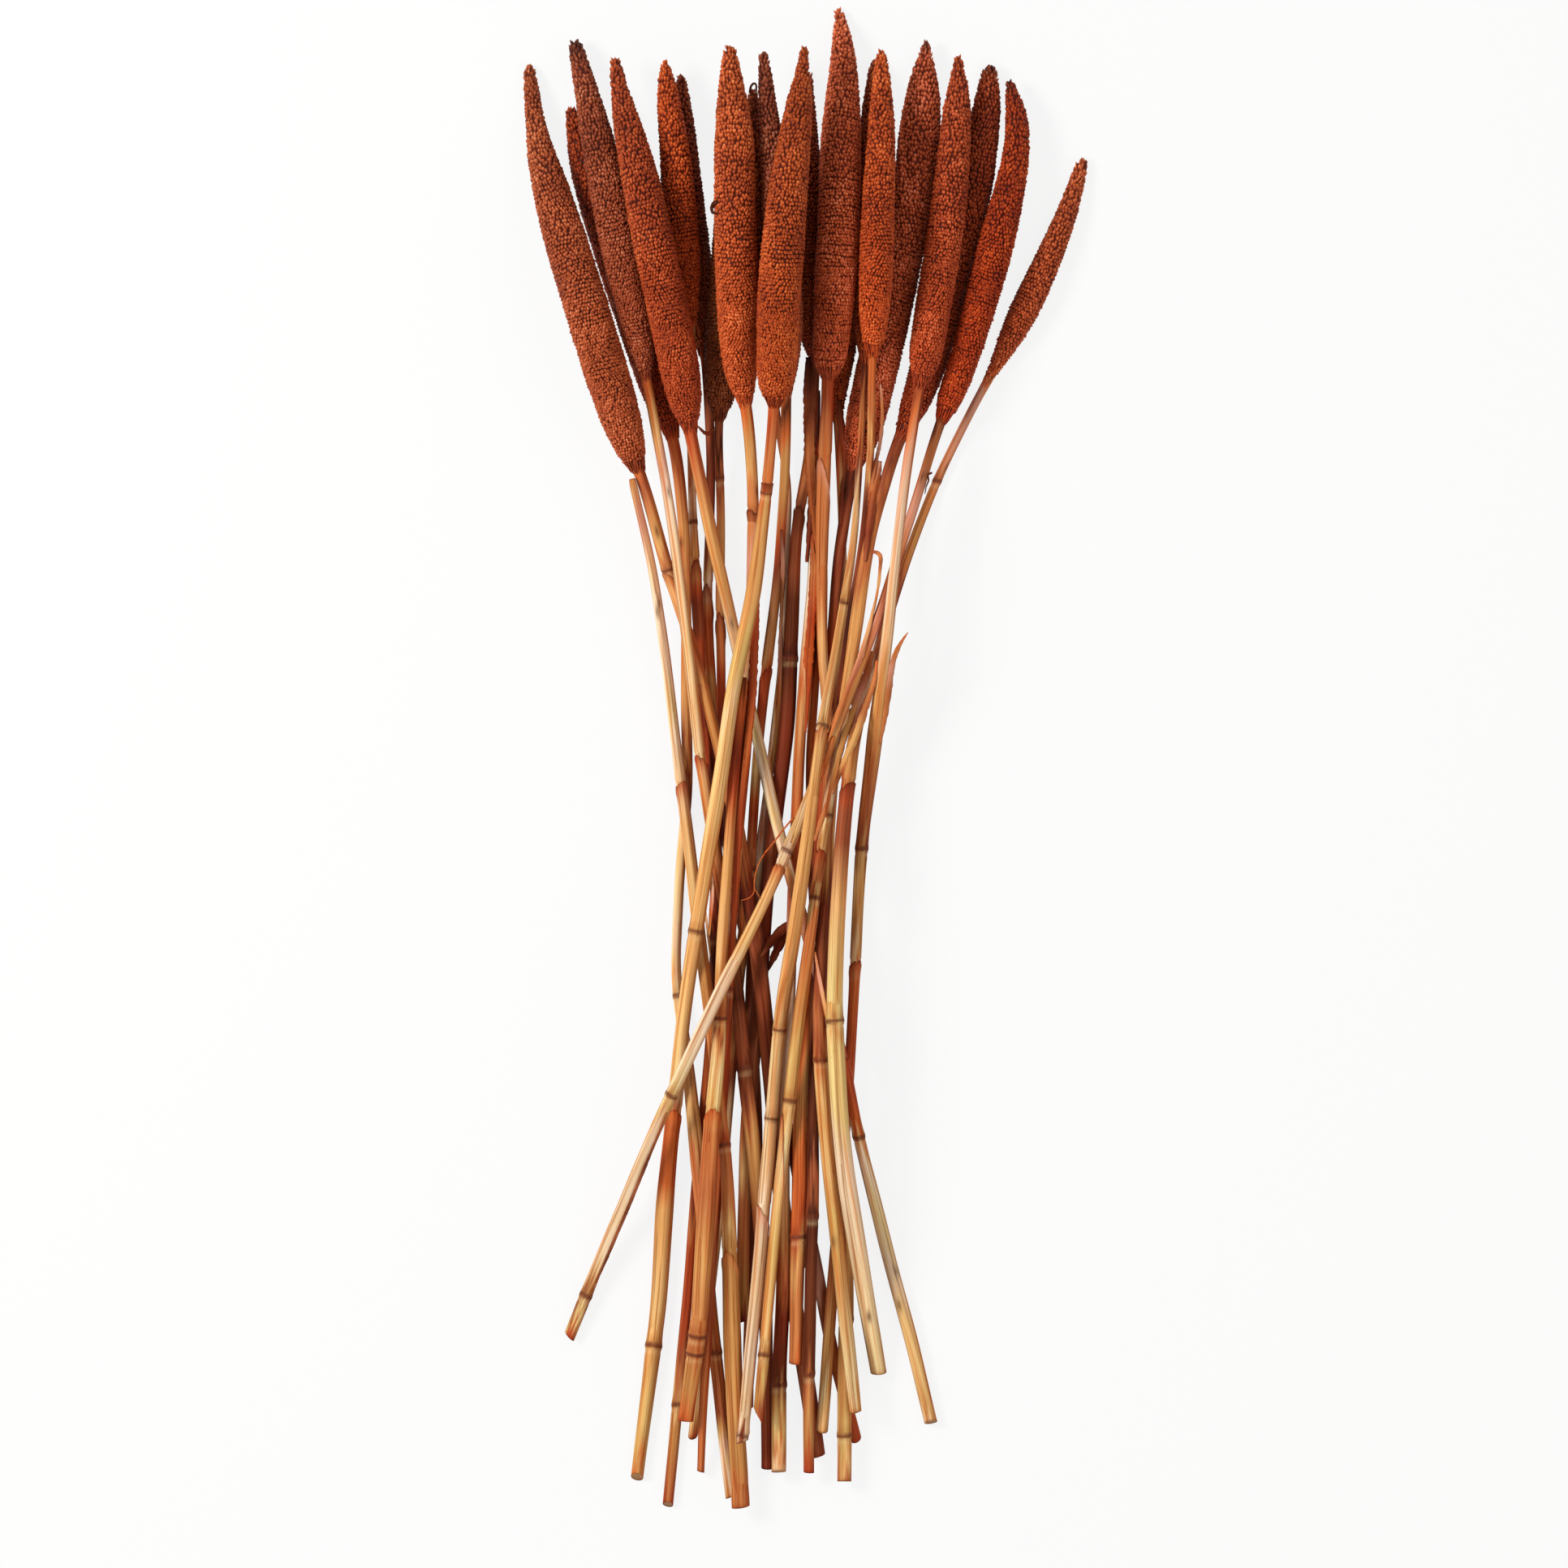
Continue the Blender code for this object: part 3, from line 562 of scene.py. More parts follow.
head_ends = {}
for number, (short, head) in enumerate(HEADS.items()):
    node = stalk(short)
    head_ends[node] = lines[node].level(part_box(node)[1].y - head.length * MM)
    grow_head(node, lines[node], head_ends[node], head, np.random.default_rng(100 + number))

# The stems are smooth canes with fine ribs along them, dyed unevenly from straw to rust, so that
# each one changes colour down its length. They have swollen joints and end in slanted cuts.

CANE_SIDES = 20
CANE_CUTS = (100, 3)
STOUT = 1.03
SWAY = 0.16 * MM
WAVER = 0.02
IN_HEAD = 6 * MM
NECK_ROOM = 9 * MM
NECK_FLARE = 0.12 * MM
NECK_FLARE_LENGTH = 3 * MM
SMOOTH_NECK = 90 * MM
JAG_LENGTH = 3.0
UNEVEN_DYE = 0.07
CUT_ROOM = 7 * MM
PITH_DEPTH = 0.35 * MM
PITH_SHARE = 0.9
LAP_STEP = 0.09
SHEATH_ROOM = 0.2 * MM
SHEATH_FOOT = 8 * MM

# How far the rind stands out of round: its share of the radius, its waves round the stem, and
# how they turn down the stem.
RIND_WAVES = ((0.035, 2, 0.004), (0.014, 5, -0.006), (0.012, 9, 0.003))

# A joint's swellings: the share of the radius, the place below the joint, and half the length.
JOINT_SHAPE = ((0.10, 0.0, 1.1), (0.04, 0.0, 5.0), (-0.07, 1.7, 0.7))

# A scar is narrow round the stem, in radians, and a few millimetres long.
SCAR_WIDTH = 0.26
SCAR_LENGTH = 2.2
SCAR_SWELLING = 0.16

TINTS = {name: np.array(linear(*color)) for name, color in {
    "pale": (252, 226, 194), "wheat": (244, 218, 162), "cream": (246, 208, 160),
    "maize": (239, 194, 128), "straw": (237, 184, 122), "honey": (226, 168, 101),
    "khaki": (208, 150, 86), "amber": (212, 131, 75), "rose": (224, 159, 132), "tan": (198, 119, 71),
    "orange": (214, 111, 53), "brick": (188, 83, 42), "brown": (163, 87, 53), "russet": (137, 59, 34),
    "umber": (107, 50, 23), "dusk": (75, 30, 13), "sand": (240, 212, 142), "hay": (222, 184, 112),
    "ring": (112, 56, 36), "band": (232, 196, 146), "scar": (84, 42, 24), "pith": (226, 196, 150),
}.items()}

# What deepens a colour: the lap of the rind, painted shade on the side that faces away from the lamp at the
# left, and the cut.
LAP_TINT = np.array((0.62, 0.42, 0.28))
PAINTED_SHADE_TINT = np.array((0.72, 0.50, 0.36))
CUT_TINT = np.array((0.72, 0.45, 0.33))
# The turn round a stem that faces the lamp at the left; the painted shade is deepest on the opposite side.
LIT_SIDE_TURN = 1.15

# Down each stem, in millimetres along the bunch: its colours, its joints and its small scars; and
# how much its cut end slants. Some colours are painted light: stalk 08 is painted pale from 74 to 34
# mm and bare stalk b3 near -163 mm, where they lie in shade under other stems.
Look = namedtuple("Look", "colors joints scars slant")
LOOKS = {
    "01": Look(
        "102 orange, 95 brown, 90 tan, 80 khaki, 75 honey, 71 tan, 61 straw, 47 amber, 32 tan, "
        "23 khaki, 8 khaki, -7 amber, -36 tan, -41 russet, -46 russet, -51 dusk, -61 brown, -66 umber, "
        "-76 brown, -86 umber, -100 umber, -234 brown", (64,), (77,), 0.25),
    "02": Look(
        "109 orange, 106 brick, 91 amber, 76 honey, 66 amber, 21 honey, 6 brown, -4 honey, -7 russet, "
        "-18 cream, -34 maize, -44 wheat, -64 pale, -69 wheat, -74 straw, -79 wheat, -94 cream, "
        "-109 honey, -124 maize, -133 tan, -198 amber, -223 brown, -228 hay, -233 pale, -237 pale, "
        "-250 khaki", (-80, -200), (73,), 0.25),
    "03": Look(
        "131 brick, 128 orange, 123 orange, 118 khaki, 108 straw, 99 rose, 89 pale, 64 cream, 44 cream, "
        "39 maize, 29 cream, 19 straw, 9 cream, -1 wheat, -6 straw, -11 straw, -18 honey, -40 amber, "
        "-81 umber, -86 brown, -101 brown, -106 umber, -116 brown, -121 amber, -126 honey, -140 honey, "
        "-155 tan, -193 brown, -240 russet", (-104,), (90,), 0.25),
    "04": Look(
        "109 brick, 80 honey, 56 honey, 46 cream, 36 cream, 17 pale, 12 sand, 7 wheat, 2 pale, -8 pale, "
        "-17 sand, -27 pale, -36 khaki, -41 tan, -67 rose, -91 rose, -100 brick, -113 brick, "
        "-123 orange, -127 maize, -132 pale, -137 pale, -146 wheat, -156 wheat, -170 pale, -185 maize, "
        "-209 maize, -219 khaki, -224 cream", (-127,), (46, -173, -184), 0.25),
    "05": Look(
        "150 khaki, 93 amber, 89 pale, 78 pale, 73 straw, 64 honey, 58 brick, 53 russet, 44 brown, "
        "39 brick, 14 russet, -1 brick, -6 dusk, -193 brown", (80,), (), 0.25),
    "06": Look(
        "138 russet, 112 brown, 107 russet, 102 umber, 92 russet, 69 brown, 62 straw, 57 pale, "
        "52 amber, 47 brick, 32 orange, 27 honey, -18 brown, -73 brown, -150 russet, -179 rose, "
        "-184 brown, -204 orange, -230 brick", (), (), 0.7),
    "07": Look(
        "116 orange, 106 khaki, 97 honey, 92 amber, 77 amber, 64 rose, 49 orange, 37 amber, 27 cream, "
        "22 cream, 7 umber, -8 russet, -32 honey, -42 orange, -47 straw, -52 pale, -57 pale, -62 amber, "
        "-77 brick, -82 brown, -87 russet, -98 brick, -155 tan, -197 brown, -211 amber, -226 tan",
        (83, -77), (91,), 0.25),
    "08": Look(
        "128 russet, 91 amber, 74 pale, 34 pale, 29 sand, 24 amber, 19 russet, 14 honey, 9 pale, "
        "4 cream, 0 amber, -7 cream, -15 pale, -20 rose, -25 tan, -30 rose, -35 pale, -40 cream, "
        "-70 brown, -174 brown, -182 tan", (-176,), (), 0.25),
    "09": Look(
        "125 orange, 119 dusk, 109 orange, 104 khaki, 90 khaki, 75 brick, 65 russet, 35 straw, "
        "30 orange, 26 brick, 16 brick, 4 amber, -4 sand, -14 orange, -19 brick, -29 tan, -51 amber, "
        "-98 khaki, -103 brown, -108 brown, -118 cream, -217 wheat, -222 maize, -230 brick",
        (-37, -82), (), 0.8),
    "10": Look(
        "123 orange, 118 brick, 99 amber, 90 orange, 85 khaki, 46 honey, 41 hay, 26 hay, 16 cream, "
        "11 maize, -18 maize, -33 honey, -97 maize, -111 wheat, -121 brown, -126 orange, -143 orange, "
        "-152 honey, -161 honey, -186 maize, -196 honey, -201 khaki, -230 hay, -235 khaki, -240 orange, "
        "-243 khaki", (90, -58, -198), (), 0.6),
    "11": Look(
        "136 brown, 128 umber, 114 brown, 109 amber, 104 khaki, 99 amber, 91 tan, 84 umber, 74 brown, "
        "64 brown, 54 umber, 39 umber, 34 dusk, 24 umber, 9 russet, -11 russet, -31 brown, -35 umber, "
        "-60 russet, -90 umber, -95 umber, -100 brown, -127 tan, -140 maize, -150 tan, -165 amber, "
        "-180 khaki, -185 khaki, -190 russet", (34,), (), 0.3),
    "12": Look(
        "121 brick, 111 tan, 102 amber, 51 amber, 41 straw, 31 straw, 9 amber, -21 tan, -114 dusk, "
        "-124 umber, -134 dusk, -139 brown, -149 brown, -154 dusk, -175 umber, -204 umber, -214 tan, "
        "-228 khaki, -238 brick", (-154, -207), (), 0.1),
    "13": Look(
        "138 russet, 134 dusk, 124 russet, 119 amber, 110 amber, 105 orange, 100 russet, 95 russet, "
        "86 cream, 80 honey, 75 straw, 60 amber, 55 maize, 45 honey, 20 straw, 11 wheat, 6 maize, "
        "-18 honey, -68 honey, -72 straw, -82 khaki, -92 straw, -97 wheat, -147 cream, -152 pale, "
        "-177 cream, -202 pale, -217 cream, -227 pale, -231 brown",
        (53, 11, -91, -121, -228), (-218,), 0.5),
    "14": Look(
        "134 orange, 119 tan, 115 honey, 104 tan, 99 honey, 95 brown, 89 umber, 75 russet, 65 brown, "
        "55 dusk, 45 dusk, -15 brick, -30 straw, -35 honey, -45 russet, -55 umber, -69 brown, "
        "-79 brown, -84 tan, -95 brown, -100 amber, -110 maize, -119 honey, -135 maize, -144 honey, "
        "-149 hay, -173 honey, -208 wheat, -213 cream, -218 honey", (-101,), (-162,), 0.25),
    "15": Look(
        "102 russet, 95 dusk, 85 russet, 75 brown, 66 russet, 50 brown, 41 brick, -84 brick, "
        "-99 orange, -114 honey, -134 orange, -150 orange, -159 brick, -170 honey, -180 amber, "
        "-199 amber, -204 orange", (-161,), (), 0.1),
    "16": Look(
        "130 brick, 125 russet, 115 orange, 71 pale, 36 cream, 26 honey, 12 honey, -2 amber, -26 brown, "
        "-31 khaki, -40 maize, -55 khaki, -65 cream, -70 wheat, -75 orange, -100 brick, -116 orange, "
        "-141 tan, -180 amber, -195 honey, -205 khaki, -215 wheat, -220 maize, -227 straw",
        (-30,), (), 0.6),
    "17": Look(
        "112 russet, 98 brown, 96 brown, 92 tan, 87 brown, 77 amber, 63 tan, 53 honey, 33 honey, "
        "17 maize, 3 pale, -12 pale, -17 wheat, -22 khaki, -32 straw, -37 amber, -41 amber, -46 sand, "
        "-51 amber, -56 amber, -86 khaki, -96 hay, -116 khaki, -121 maize, -135 wheat, -145 maize, "
        "-165 hay, -190 maize, -195 maize, -201 khaki, -205 khaki, -210 hay, -215 khaki, -220 brown, "
        "-224 brick", (-19, -47, -115, -201), (100,), 1.5),
    "18": Look(
        "119 brown, 114 umber, 105 tan, 95 tan, 86 rose, 77 rose, 69 amber, 53 brown, 44 rose, 39 rose, "
        "35 amber, 25 khaki, 11 tan, 7 honey, -7 straw, -21 hay, -31 pale, -35 pale, -40 maize, "
        "-44 straw, -62 maize, -76 pale, -98 pale, -112 wheat, -116 hay, -120 honey, -128 pale, "
        "-139 cream, -148 pale, -156 cream, -166 pale, -173 cream, -177 khaki, -182 brown, -191 sand, "
        "-195 brick", (-31, -113, -181), (110, 95), 0.5),
    "19": Look(
        "130 amber, 126 rose, 121 rose, 91 amber, 76 khaki, 67 amber, 62 brown, 45 tan, 35 brown, "
        "30 pale, 21 pale, 16 rose, 11 brown, -3 khaki, -13 brick, -18 brown, -28 brown, -48 straw, "
        "-74 sand, -84 sand, -89 honey, -94 sand, -119 sand, -134 pale, -204 wheat",
        (94, -88), (99, -187), 0.1),
    "20": Look(
        "113 brown, 108 dusk, 104 umber, 99 tan, 94 brown, 89 amber, 79 honey, 70 honey, 53 amber, "
        "49 straw, 44 amber, 34 amber, 29 brick, 19 brick, 9 brown, -46 russet, -56 russet, -61 dusk, "
        "-71 umber, -106 orange, -116 russet, -146 russet, -156 amber, -161 brick, -191 brick, "
        "-196 brown, -201 tan, -206 tan, -216 maize, -220 khaki, -226 khaki, -245 tan, -253 brick",
        (95, -60, -218), (), 0.5),
    "21": Look(
        "119 umber, 110 tan, 105 russet, 100 brick, 95 amber, 90 straw, 9 brown, -100 russet",
        (), (), 0.25),
    "b1": Look(
        "116 brick, 109 orange, 101 amber, 90 straw, 82 rose, 77 rose, 62 cream, 52 pale, 28 pale, "
        "18 wheat, 13 wheat, 3 pale, -7 cream, -22 straw, -42 maize, -59 straw, -66 maize, -71 honey, "
        "-76 khaki, -111 amber, -126 amber, -131 brick, -136 tan, -151 amber, -161 maize, -166 khaki, "
        "-201 khaki, -216 honey, -221 honey, -236 khaki, -246 amber", (-130,), (53, 50), 0.15),
    "b2": Look(
        "27 umber, 19 orange, 4 russet, -11 brick, -31 honey, -41 honey, -66 straw, -71 khaki, -80 tan, "
        "-86 khaki, -91 brown, -96 maize, -101 wheat, -116 sand, -126 amber, -131 amber, -146 tan, "
        "-171 honey, -196 amber, -210 khaki, -220 orange, -223 brick", (-87, -194, -200), (), 0.15),
    "b3": Look(
        "91 amber, 87 pale, 82 pale, 78 maize, 72 pale, 33 pale, 23 amber, 13 straw, -2 amber, "
        "-12 amber, -22 orange, -46 brick, -92 pale, -97 pale, -163 honey, -173 tan, -183 tan, "
        "-188 russet, -202 russet, -207 umber, -212 umber, -222 honey, -227 sand, -237 amber, "
        "-241 cream", (-211,), (), 0.25),
    "b4": Look(
        "106 dusk, 101 brick, 91 russet, 64 brown, 41 dusk, 36 umber, 31 brick, 26 orange, 21 amber, "
        "16 orange, 11 amber, 1 orange, -2 brown, -46 brown, -100 tan, -155 honey, -214 khaki, "
        "-229 hay, -234 honey, -239 maize, -244 tan", (-189, -228), (), 0.1),
}

# Sheaths, the feet of leaves, still wrap some stems from a joint up to an open mouth: the stalk,
# the mouth and the joint in millimetres along the bunch, how far the mouth slants, the turn of its
# middle round the stem, the share of the round that it covers, and the colour of its mouth.
Sheath = namedtuple("Sheath", "stalk mouth joint slant turn wrap tint")
SHEATHS = [
    Sheath("03", 2, -103, 4, 0.9, 0.9, "brick"),
    Sheath("09", 32, -36, 5, 2.2, 0.8, "brick"),
    Sheath("10", -117, -198, 5, 1.2, 0.95, "orange"),
    Sheath("13", 11, -18, 4, 1.6, 0.9, "tan"),
    Sheath("13", -150, -227, 7, 0.6, 0.9, "rose"),
    Sheath("16", -67, -125, 5, 2.0, 0.95, "brick"),
    Sheath("17", -30, -47, 3, 1.0, 0.9, "brick"),
    Sheath("17", -119, -201, 24, 0.4, 0.72, "brick"),
    Sheath("18", -35, -73, 3, 1.5, 0.85, "orange"),
    Sheath("19", -7, -88, 4, 2.4, 0.9, "russet"),
    Sheath("12", 103, 60, 16, 0.8, 0.8, "rose"),
    Sheath("01", 64, 20, 4, 0.6, 0.8, "tan"),
    Sheath("b1", -7, -129, 4, 1.9, 0.95, "brick"),
    Sheath("b1", -165, -250, 9, 1.3, 0.85, "amber"),
    Sheath("b2", -117, -194, 6, 1.8, 0.95, "orange"),
    Sheath("07", 53, 2, 10, 0.9, 0.75, "brick"),
    Sheath("04", -98, -126, 5, 1.1, 0.9, "brick"),
    Sheath("05", 68, 5, 8, 1.9, 0.75, "russet"),
    Sheath("06", 60, -10, 10, 1.2, 0.8, "russet"),
    Sheath("20", 50, -20, 9, 1.4, 0.85, "russet"),
    Sheath("11", 86, 34, 5, 1.2, 0.85, "umber"),
    Sheath("10", 94, 86, 1, 1.4, 0.95, "russet"),
    Sheath("07", 85, 76, 2, 0.9, 0.6, "russet"),
]

# The cane's material: ribs and streaks run along the stem, on values that its mesh carries.
STREAK_SHADES = [
    (0.28, (0.68, 0.54, 0.42)), (0.44, (0.91, 0.86, 0.80)), (0.56, (1.0, 0.99, 0.97)),
    (0.74, (1.09, 1.10, 1.10)),
]
STAIN = (0.80, 0.46, 0.26, 1)
VEIN = (0.50, 0.30, 0.18, 1)
FLECK = (*linear(84, 38, 20), 1)
RIB_HEIGHT = 0.00025

dried_stem = bpy.data.materials.new("dried_stem")
start = reckon(dried_stem)
tint = start.carried("tint", "Color")
grown_at = start.carried("grown", "Vector")
ribbed = start.carried("ribbed")


def streaks(across, down, detail):
    """Noise that is drawn out along the stem: its scale across the stem, and down it."""
    settings = {"operation": "MULTIPLY"}
    stretched = start.node("VectorMath", settings, {0: grown_at, 1: (across, across, down)})
    return start.node("TexNoise", (), {"Vector": stretched, "Scale": 1.0, "Detail": detail})


ribs = streaks(3.2, 0.05, 3.0)
lanes = streaks(1.1, 0.022, 2.0)
veins = streaks(1.9, 0.012, 1.0)
dye = streaks(0.62, 0.014, 3.0)
wear = streaks(1.5, 0.12, 4.0)
fleck = streaks(2.6, 0.9, 2.0)
shade = start.node("ValToRGB", {"stops": STREAK_SHADES}, {"Fac": ribs * 0.4 + lanes * 0.38 + wear * 0.22})
color = tint.blend(ribbed, shade, "MULTIPLY")
color = color.blend(dye.above(0.5, 0.66) * 0.85, STAIN, "MULTIPLY")
color = color.blend(veins.above(0.60, 0.65) * ribbed * 0.7, VEIN, "MULTIPLY")
color = color.blend(fleck.above(0.7, 0.8) * 0.6, FLECK)
relief = (ribs + lanes * 0.8 - veins * 0.8) * ribbed + wear * 0.5
bump = start.node("Bump", (), {"Strength": 0.42, "Distance": RIB_HEIGHT, "Height": relief})
start.show("BsdfPrincipled", {
    "Base Color": color, "Roughness": wear * 0.25 + 0.55, "Normal": bump, "Specular IOR Level": 0.12,
})


def blank_rod(sides, all_cuts):
    """A rod, a metre long and a metre in radius: its ends are inset and its sides cut into rings.
    Gives the rod and its points' turns, shares of the radius, and places down from its top."""
    bpy.ops.mesh.primitive_cylinder_add(vertices=sides, radius=1.0, depth=1.0)
    rod = bpy.context.object
    bpy.ops.object.mode_set(mode="EDIT")
    bpy.ops.mesh.select_mode(type="FACE")
    for face in bmesh.from_edit_mesh(rod.data).faces:
        face.select_set(abs(face.normal.z) > 0.5)
    bpy.ops.mesh.inset(thickness=0.2)
    bpy.ops.mesh.inset(thickness=0.3)
    bpy.ops.mesh.poke()
    for cuts in all_cuts:
        bpy.ops.mesh.select_mode(type="EDGE")
        for edge in bmesh.from_edit_mesh(rod.data).edges:
            edge.select_set(abs(edge.verts[0].co.z - edge.verts[1].co.z) > 1e-5)
        bpy.ops.mesh.subdivide(number_cuts=cuts)
    bpy.ops.object.mode_set(mode="OBJECT")
    places = np.array([vertex.co for vertex in rod.data.vertices])
    turn = np.arctan2(places[:, 1], places[:, 0])
    return rod, turn, np.hypot(places[:, 0], places[:, 1]), places[:, 2] + 0.5


cane, cane_turn, cane_share, cane_down = blank_rod(CANE_SIDES, CANE_CUTS)
cane_side = np.round(cane_turn / (2 * np.pi / CANE_SIDES)).astype(int) % CANE_SIDES


def mix(colors, other, share):
    return colors + (other - colors) * np.clip(share, 0, 1)[:, None]


def bell(away, reach, power=2):
    """1 at no distance, and falling to almost nothing twice as far away as the reach."""
    return np.exp(-((away / reach) ** power))


class Stem:
    """The round of one stem: its colours, places and girth at a distance from the tip and a turn."""

    def __init__(self, short, look, chance):
        self.node = stalk(short)
        self.line = lines[self.node]
        self.head_end = head_ends.get(self.node, 0.0)
        self.phase = chance.uniform(0, 6.28, 6)
        self.joints = self.line.level(np.array(look.joints) * MM) / MM
        self.scars = self.line.level(np.array(look.scars) * MM) / MM
        self.scar_turns = chance.uniform(0.9, 2.2, len(self.scars))
        self.wraps = [
            self.line.level(np.array((sheath.mouth, sheath.joint)) * MM)
            for sheath in SHEATHS if sheath.stalk == short]
        stops = [stop.split() for stop in look.colors.split(",")]
        self.color_places = self.line.level(np.array([float(y) for y, _ in stops]) * MM)
        self.tints = np.array([TINTS[name] for _, name in stops])

    def colors(self, distance):
        return between(distance, self.color_places, self.tints)

    def lap(self, distance, turn):
        """How far round from the edge where the rind laps over itself, from 0 to 1."""
        lap_at = self.phase[4] * 0.3 + 0.5 + 0.5 * np.sin(distance / MM * 0.017 + self.phase[5])
        return np.mod(turn - lap_at, 2 * np.pi) / (2 * np.pi)

    def scarred(self, distance, turn):
        """How deep in a scar, from 0 to 1."""
        depth = np.zeros(len(distance))
        for scar, scar_turn in zip(self.scars, self.scar_turns):
            across = np.angle(np.exp(1j * (turn - scar_turn))) / SCAR_WIDTH
            depth += np.exp(-(((distance / MM - scar) / SCAR_LENGTH) ** 2) - across**2)
        return depth

    def girth(self, distance, turn):
        neck = self.head_end + NECK_ROOM if self.head_end > 0 else 0.0
        radius = self.line.radius(np.maximum(distance, neck))
        for edge, joint in self.wraps:
            wrapped = np.clip((joint - distance) / SHEATH_FOOT, 0, 1) * (distance > edge)
            radius = radius - SHEATH_ROOM * wrapped
        if self.head_end > 0:
            below_head = np.maximum(distance - self.head_end, 0)
            radius = radius + NECK_FLARE * np.exp(-below_head / NECK_FLARE_LENGTH)
        walk = distance / MM
        shape = sum(height * np.cos(waves * turn + start + walk * twist)
                    for (height, waves, twist), start in zip(RIND_WAVES, self.phase))
        shape = shape + WAVER * np.sin(walk * 0.11 + self.phase[3]) * np.sin(walk * 0.023 + self.phase[4])
        shape = shape + LAP_STEP * (self.lap(distance, turn) - 0.5)
        for joint in self.joints:
            for height, below, reach in JOINT_SHAPE:
                shape = shape + height * bell(walk - joint - below, reach)
        return radius * (STOUT + shape + SCAR_SWELLING * self.scarred(distance, turn))

    def place(self, distance, turn, from_middle):
        """The places at these turns round the stem, this far out from its swaying middle."""
        _, side, up = self.line.directions(distance)
        walk = distance / MM
        sway = np.sin(walk * 0.09 + self.phase[1]) * np.sin(walk * 0.031 + self.phase[2]) * SWAY
        out = outward(side, up, turn) * from_middle[:, None]
        return self.line.at(distance) + side * sway[:, None] + out

    def painted_shade_and_lap(self, colors, distance, turn):
        """These colours with painted shade, deeper on the side that faces away from the lamp at the left, and
        deeper along the lapped edge.
        """
        away_from_lamp = (1 - np.cos(turn - LIT_SIDE_TURN)) / 2
        colors = colors * (1 - (1 - PAINTED_SHADE_TINT) * np.clip(away_from_lamp * 1.7 - 0.2, 0, 1)[:, None])
        lap = self.lap(distance, turn)
        return mix(colors, colors * LAP_TINT, 0.8 * bell(np.minimum(lap, 1 - lap), 0.03))


def set_places(piece, places):
    piece.data.vertices.foreach_set("co", places.astype(np.float32).ravel())


def finish_piece(piece, node, colors, grown, ribbed=1.0):
    """Gives a piece the dried stem's finish: its colours, the places it grew at, its ribs' depth."""
    piece.data.shade_smooth()
    piece.data.materials.clear()
    piece.data.materials.append(dried_stem)
    give(piece, "tint", "FLOAT_COLOR", colors)
    give(piece, "grown", "FLOAT_VECTOR", grown)
    give(piece, "ribbed", "FLOAT", np.full(len(colors), ribbed))
    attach(piece, "root")
    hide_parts(node)


def round_places(radius, turn, distance):
    """Places round a straight stem in millimetres, for the pattern of the ribs."""
    return np.stack([radius * np.cos(turn), radius * np.sin(turn), distance], axis=1) / MM


def grow_stem(stem, slant, number, chance):
    """One stem, from inside its head, or from its upper end, down to its cut."""
    length = stem.line.length
    top = max(stem.head_end - IN_HEAD, 0.0)
    distance = top + cane_down * (length - top)
    turn = cane_turn
    radius = stem.girth(distance, turn)

    # The cut slants; the rind stands proud of the soft pith.
    cut = np.clip((distance - (length - CUT_ROOM)) / CUT_ROOM, 0, 1)
    distance = distance - cut * radius * slant * (1 + cane_share * np.cos(turn - stem.phase[0]))
    in_pith = cane_share < PITH_SHARE
    distance = np.where(in_pith & (cane_down > 0.5), distance - PITH_DEPTH, distance)
    piece = add_piece(f"{stem.node}_stem", cane.data.copy())
    set_places(piece, stem.place(distance, turn, radius * cane_share))

    # Under its head a stem is smooth; further down it is ribbed. The colours' borders are jagged,
    # because the dye ran further along some ribs.
    walk = distance / MM
    ribbed = np.ones(len(walk))
    if stem.head_end > 0:
        ribbed = np.clip((distance - stem.head_end) / SMOOTH_NECK, 0.2, 1)
    jag = chance.normal(0, JAG_LENGTH, CANE_SIDES)
    jag += 4 * np.sin(np.arange(CANE_SIDES) * 0.63 + stem.phase[3])
    colors = stem.colors(distance + jag[cane_side] * MM)
    lane = chance.normal(1, UNEVEN_DYE, CANE_SIDES)
    lane = (lane + np.roll(lane, 1)) / 2
    lane = 1 + (lane[cane_side] - 1) * ribbed + 0.05 * np.sin(walk * 0.05 + 2 * turn + stem.phase[4])
    # Painted shade: the side of the stem that faces away from the lamp at the left is darkened in its
    # colours.
    colors = stem.painted_shade_and_lap(colors * lane[:, None], distance, turn)
    for joint in stem.joints:
        below = walk - joint + 0.3 * np.cos(turn - 1.6 + stem.phase[1])
        colors = mix(colors, colors * LAP_TINT, 0.5 * bell(below + 1.5, 2.0))
        colors = mix(colors, TINTS["band"], 0.3 * bell(below - 2.0, 0.8))
        colors = mix(colors, TINTS["ring"], 0.95 * bell(below, 0.75, 4))
    colors = mix(colors, colors * CUT_TINT, 0.8 * bell((length - distance) / MM, 1.3))
    colors = mix(colors, TINTS["scar"], 0.85 * stem.scarred(distance, turn))
    pith = in_pith & (np.abs(cane_down - 0.5) > 0.499)
    colors = np.where(pith[:, None], TINTS["pith"] * 0.4 + colors * 0.45, colors)
    grown = round_places(radius * cane_share, turn, distance) + number * 37.0
    finish_piece(piece, stem.node, colors, grown, ribbed)


stems = {}
for number, (short, look) in enumerate(LOOKS.items()):
    chance = np.random.default_rng(300 + number)
    stems[short] = Stem(short, look, chance)
    grow_stem(stems[short], look.slant, number, chance)
bpy.data.objects.remove(cane)

# A sheath is a papery tube, split down one side, that hugs its stem from the joint up to a torn
# or pointed mouth, where it stands a little away from the stem.

SHEATH_SIDES = 26
SHEATH_STEP = 1.5 * MM
SHEATH_WALL = 0.14 * MM
SHEATH_LIFT = 0.03 * MM
SHEATH_FLARE = 0.35 * MM
SHEATH_LAP = 0.1 * MM
SHEATH_TUCK = 0.25 * MM
MOUTH_KEEPS = 7 * MM
MOUTH_OPENS = 0.22
TORN = 0.8
EDGE = 0.93


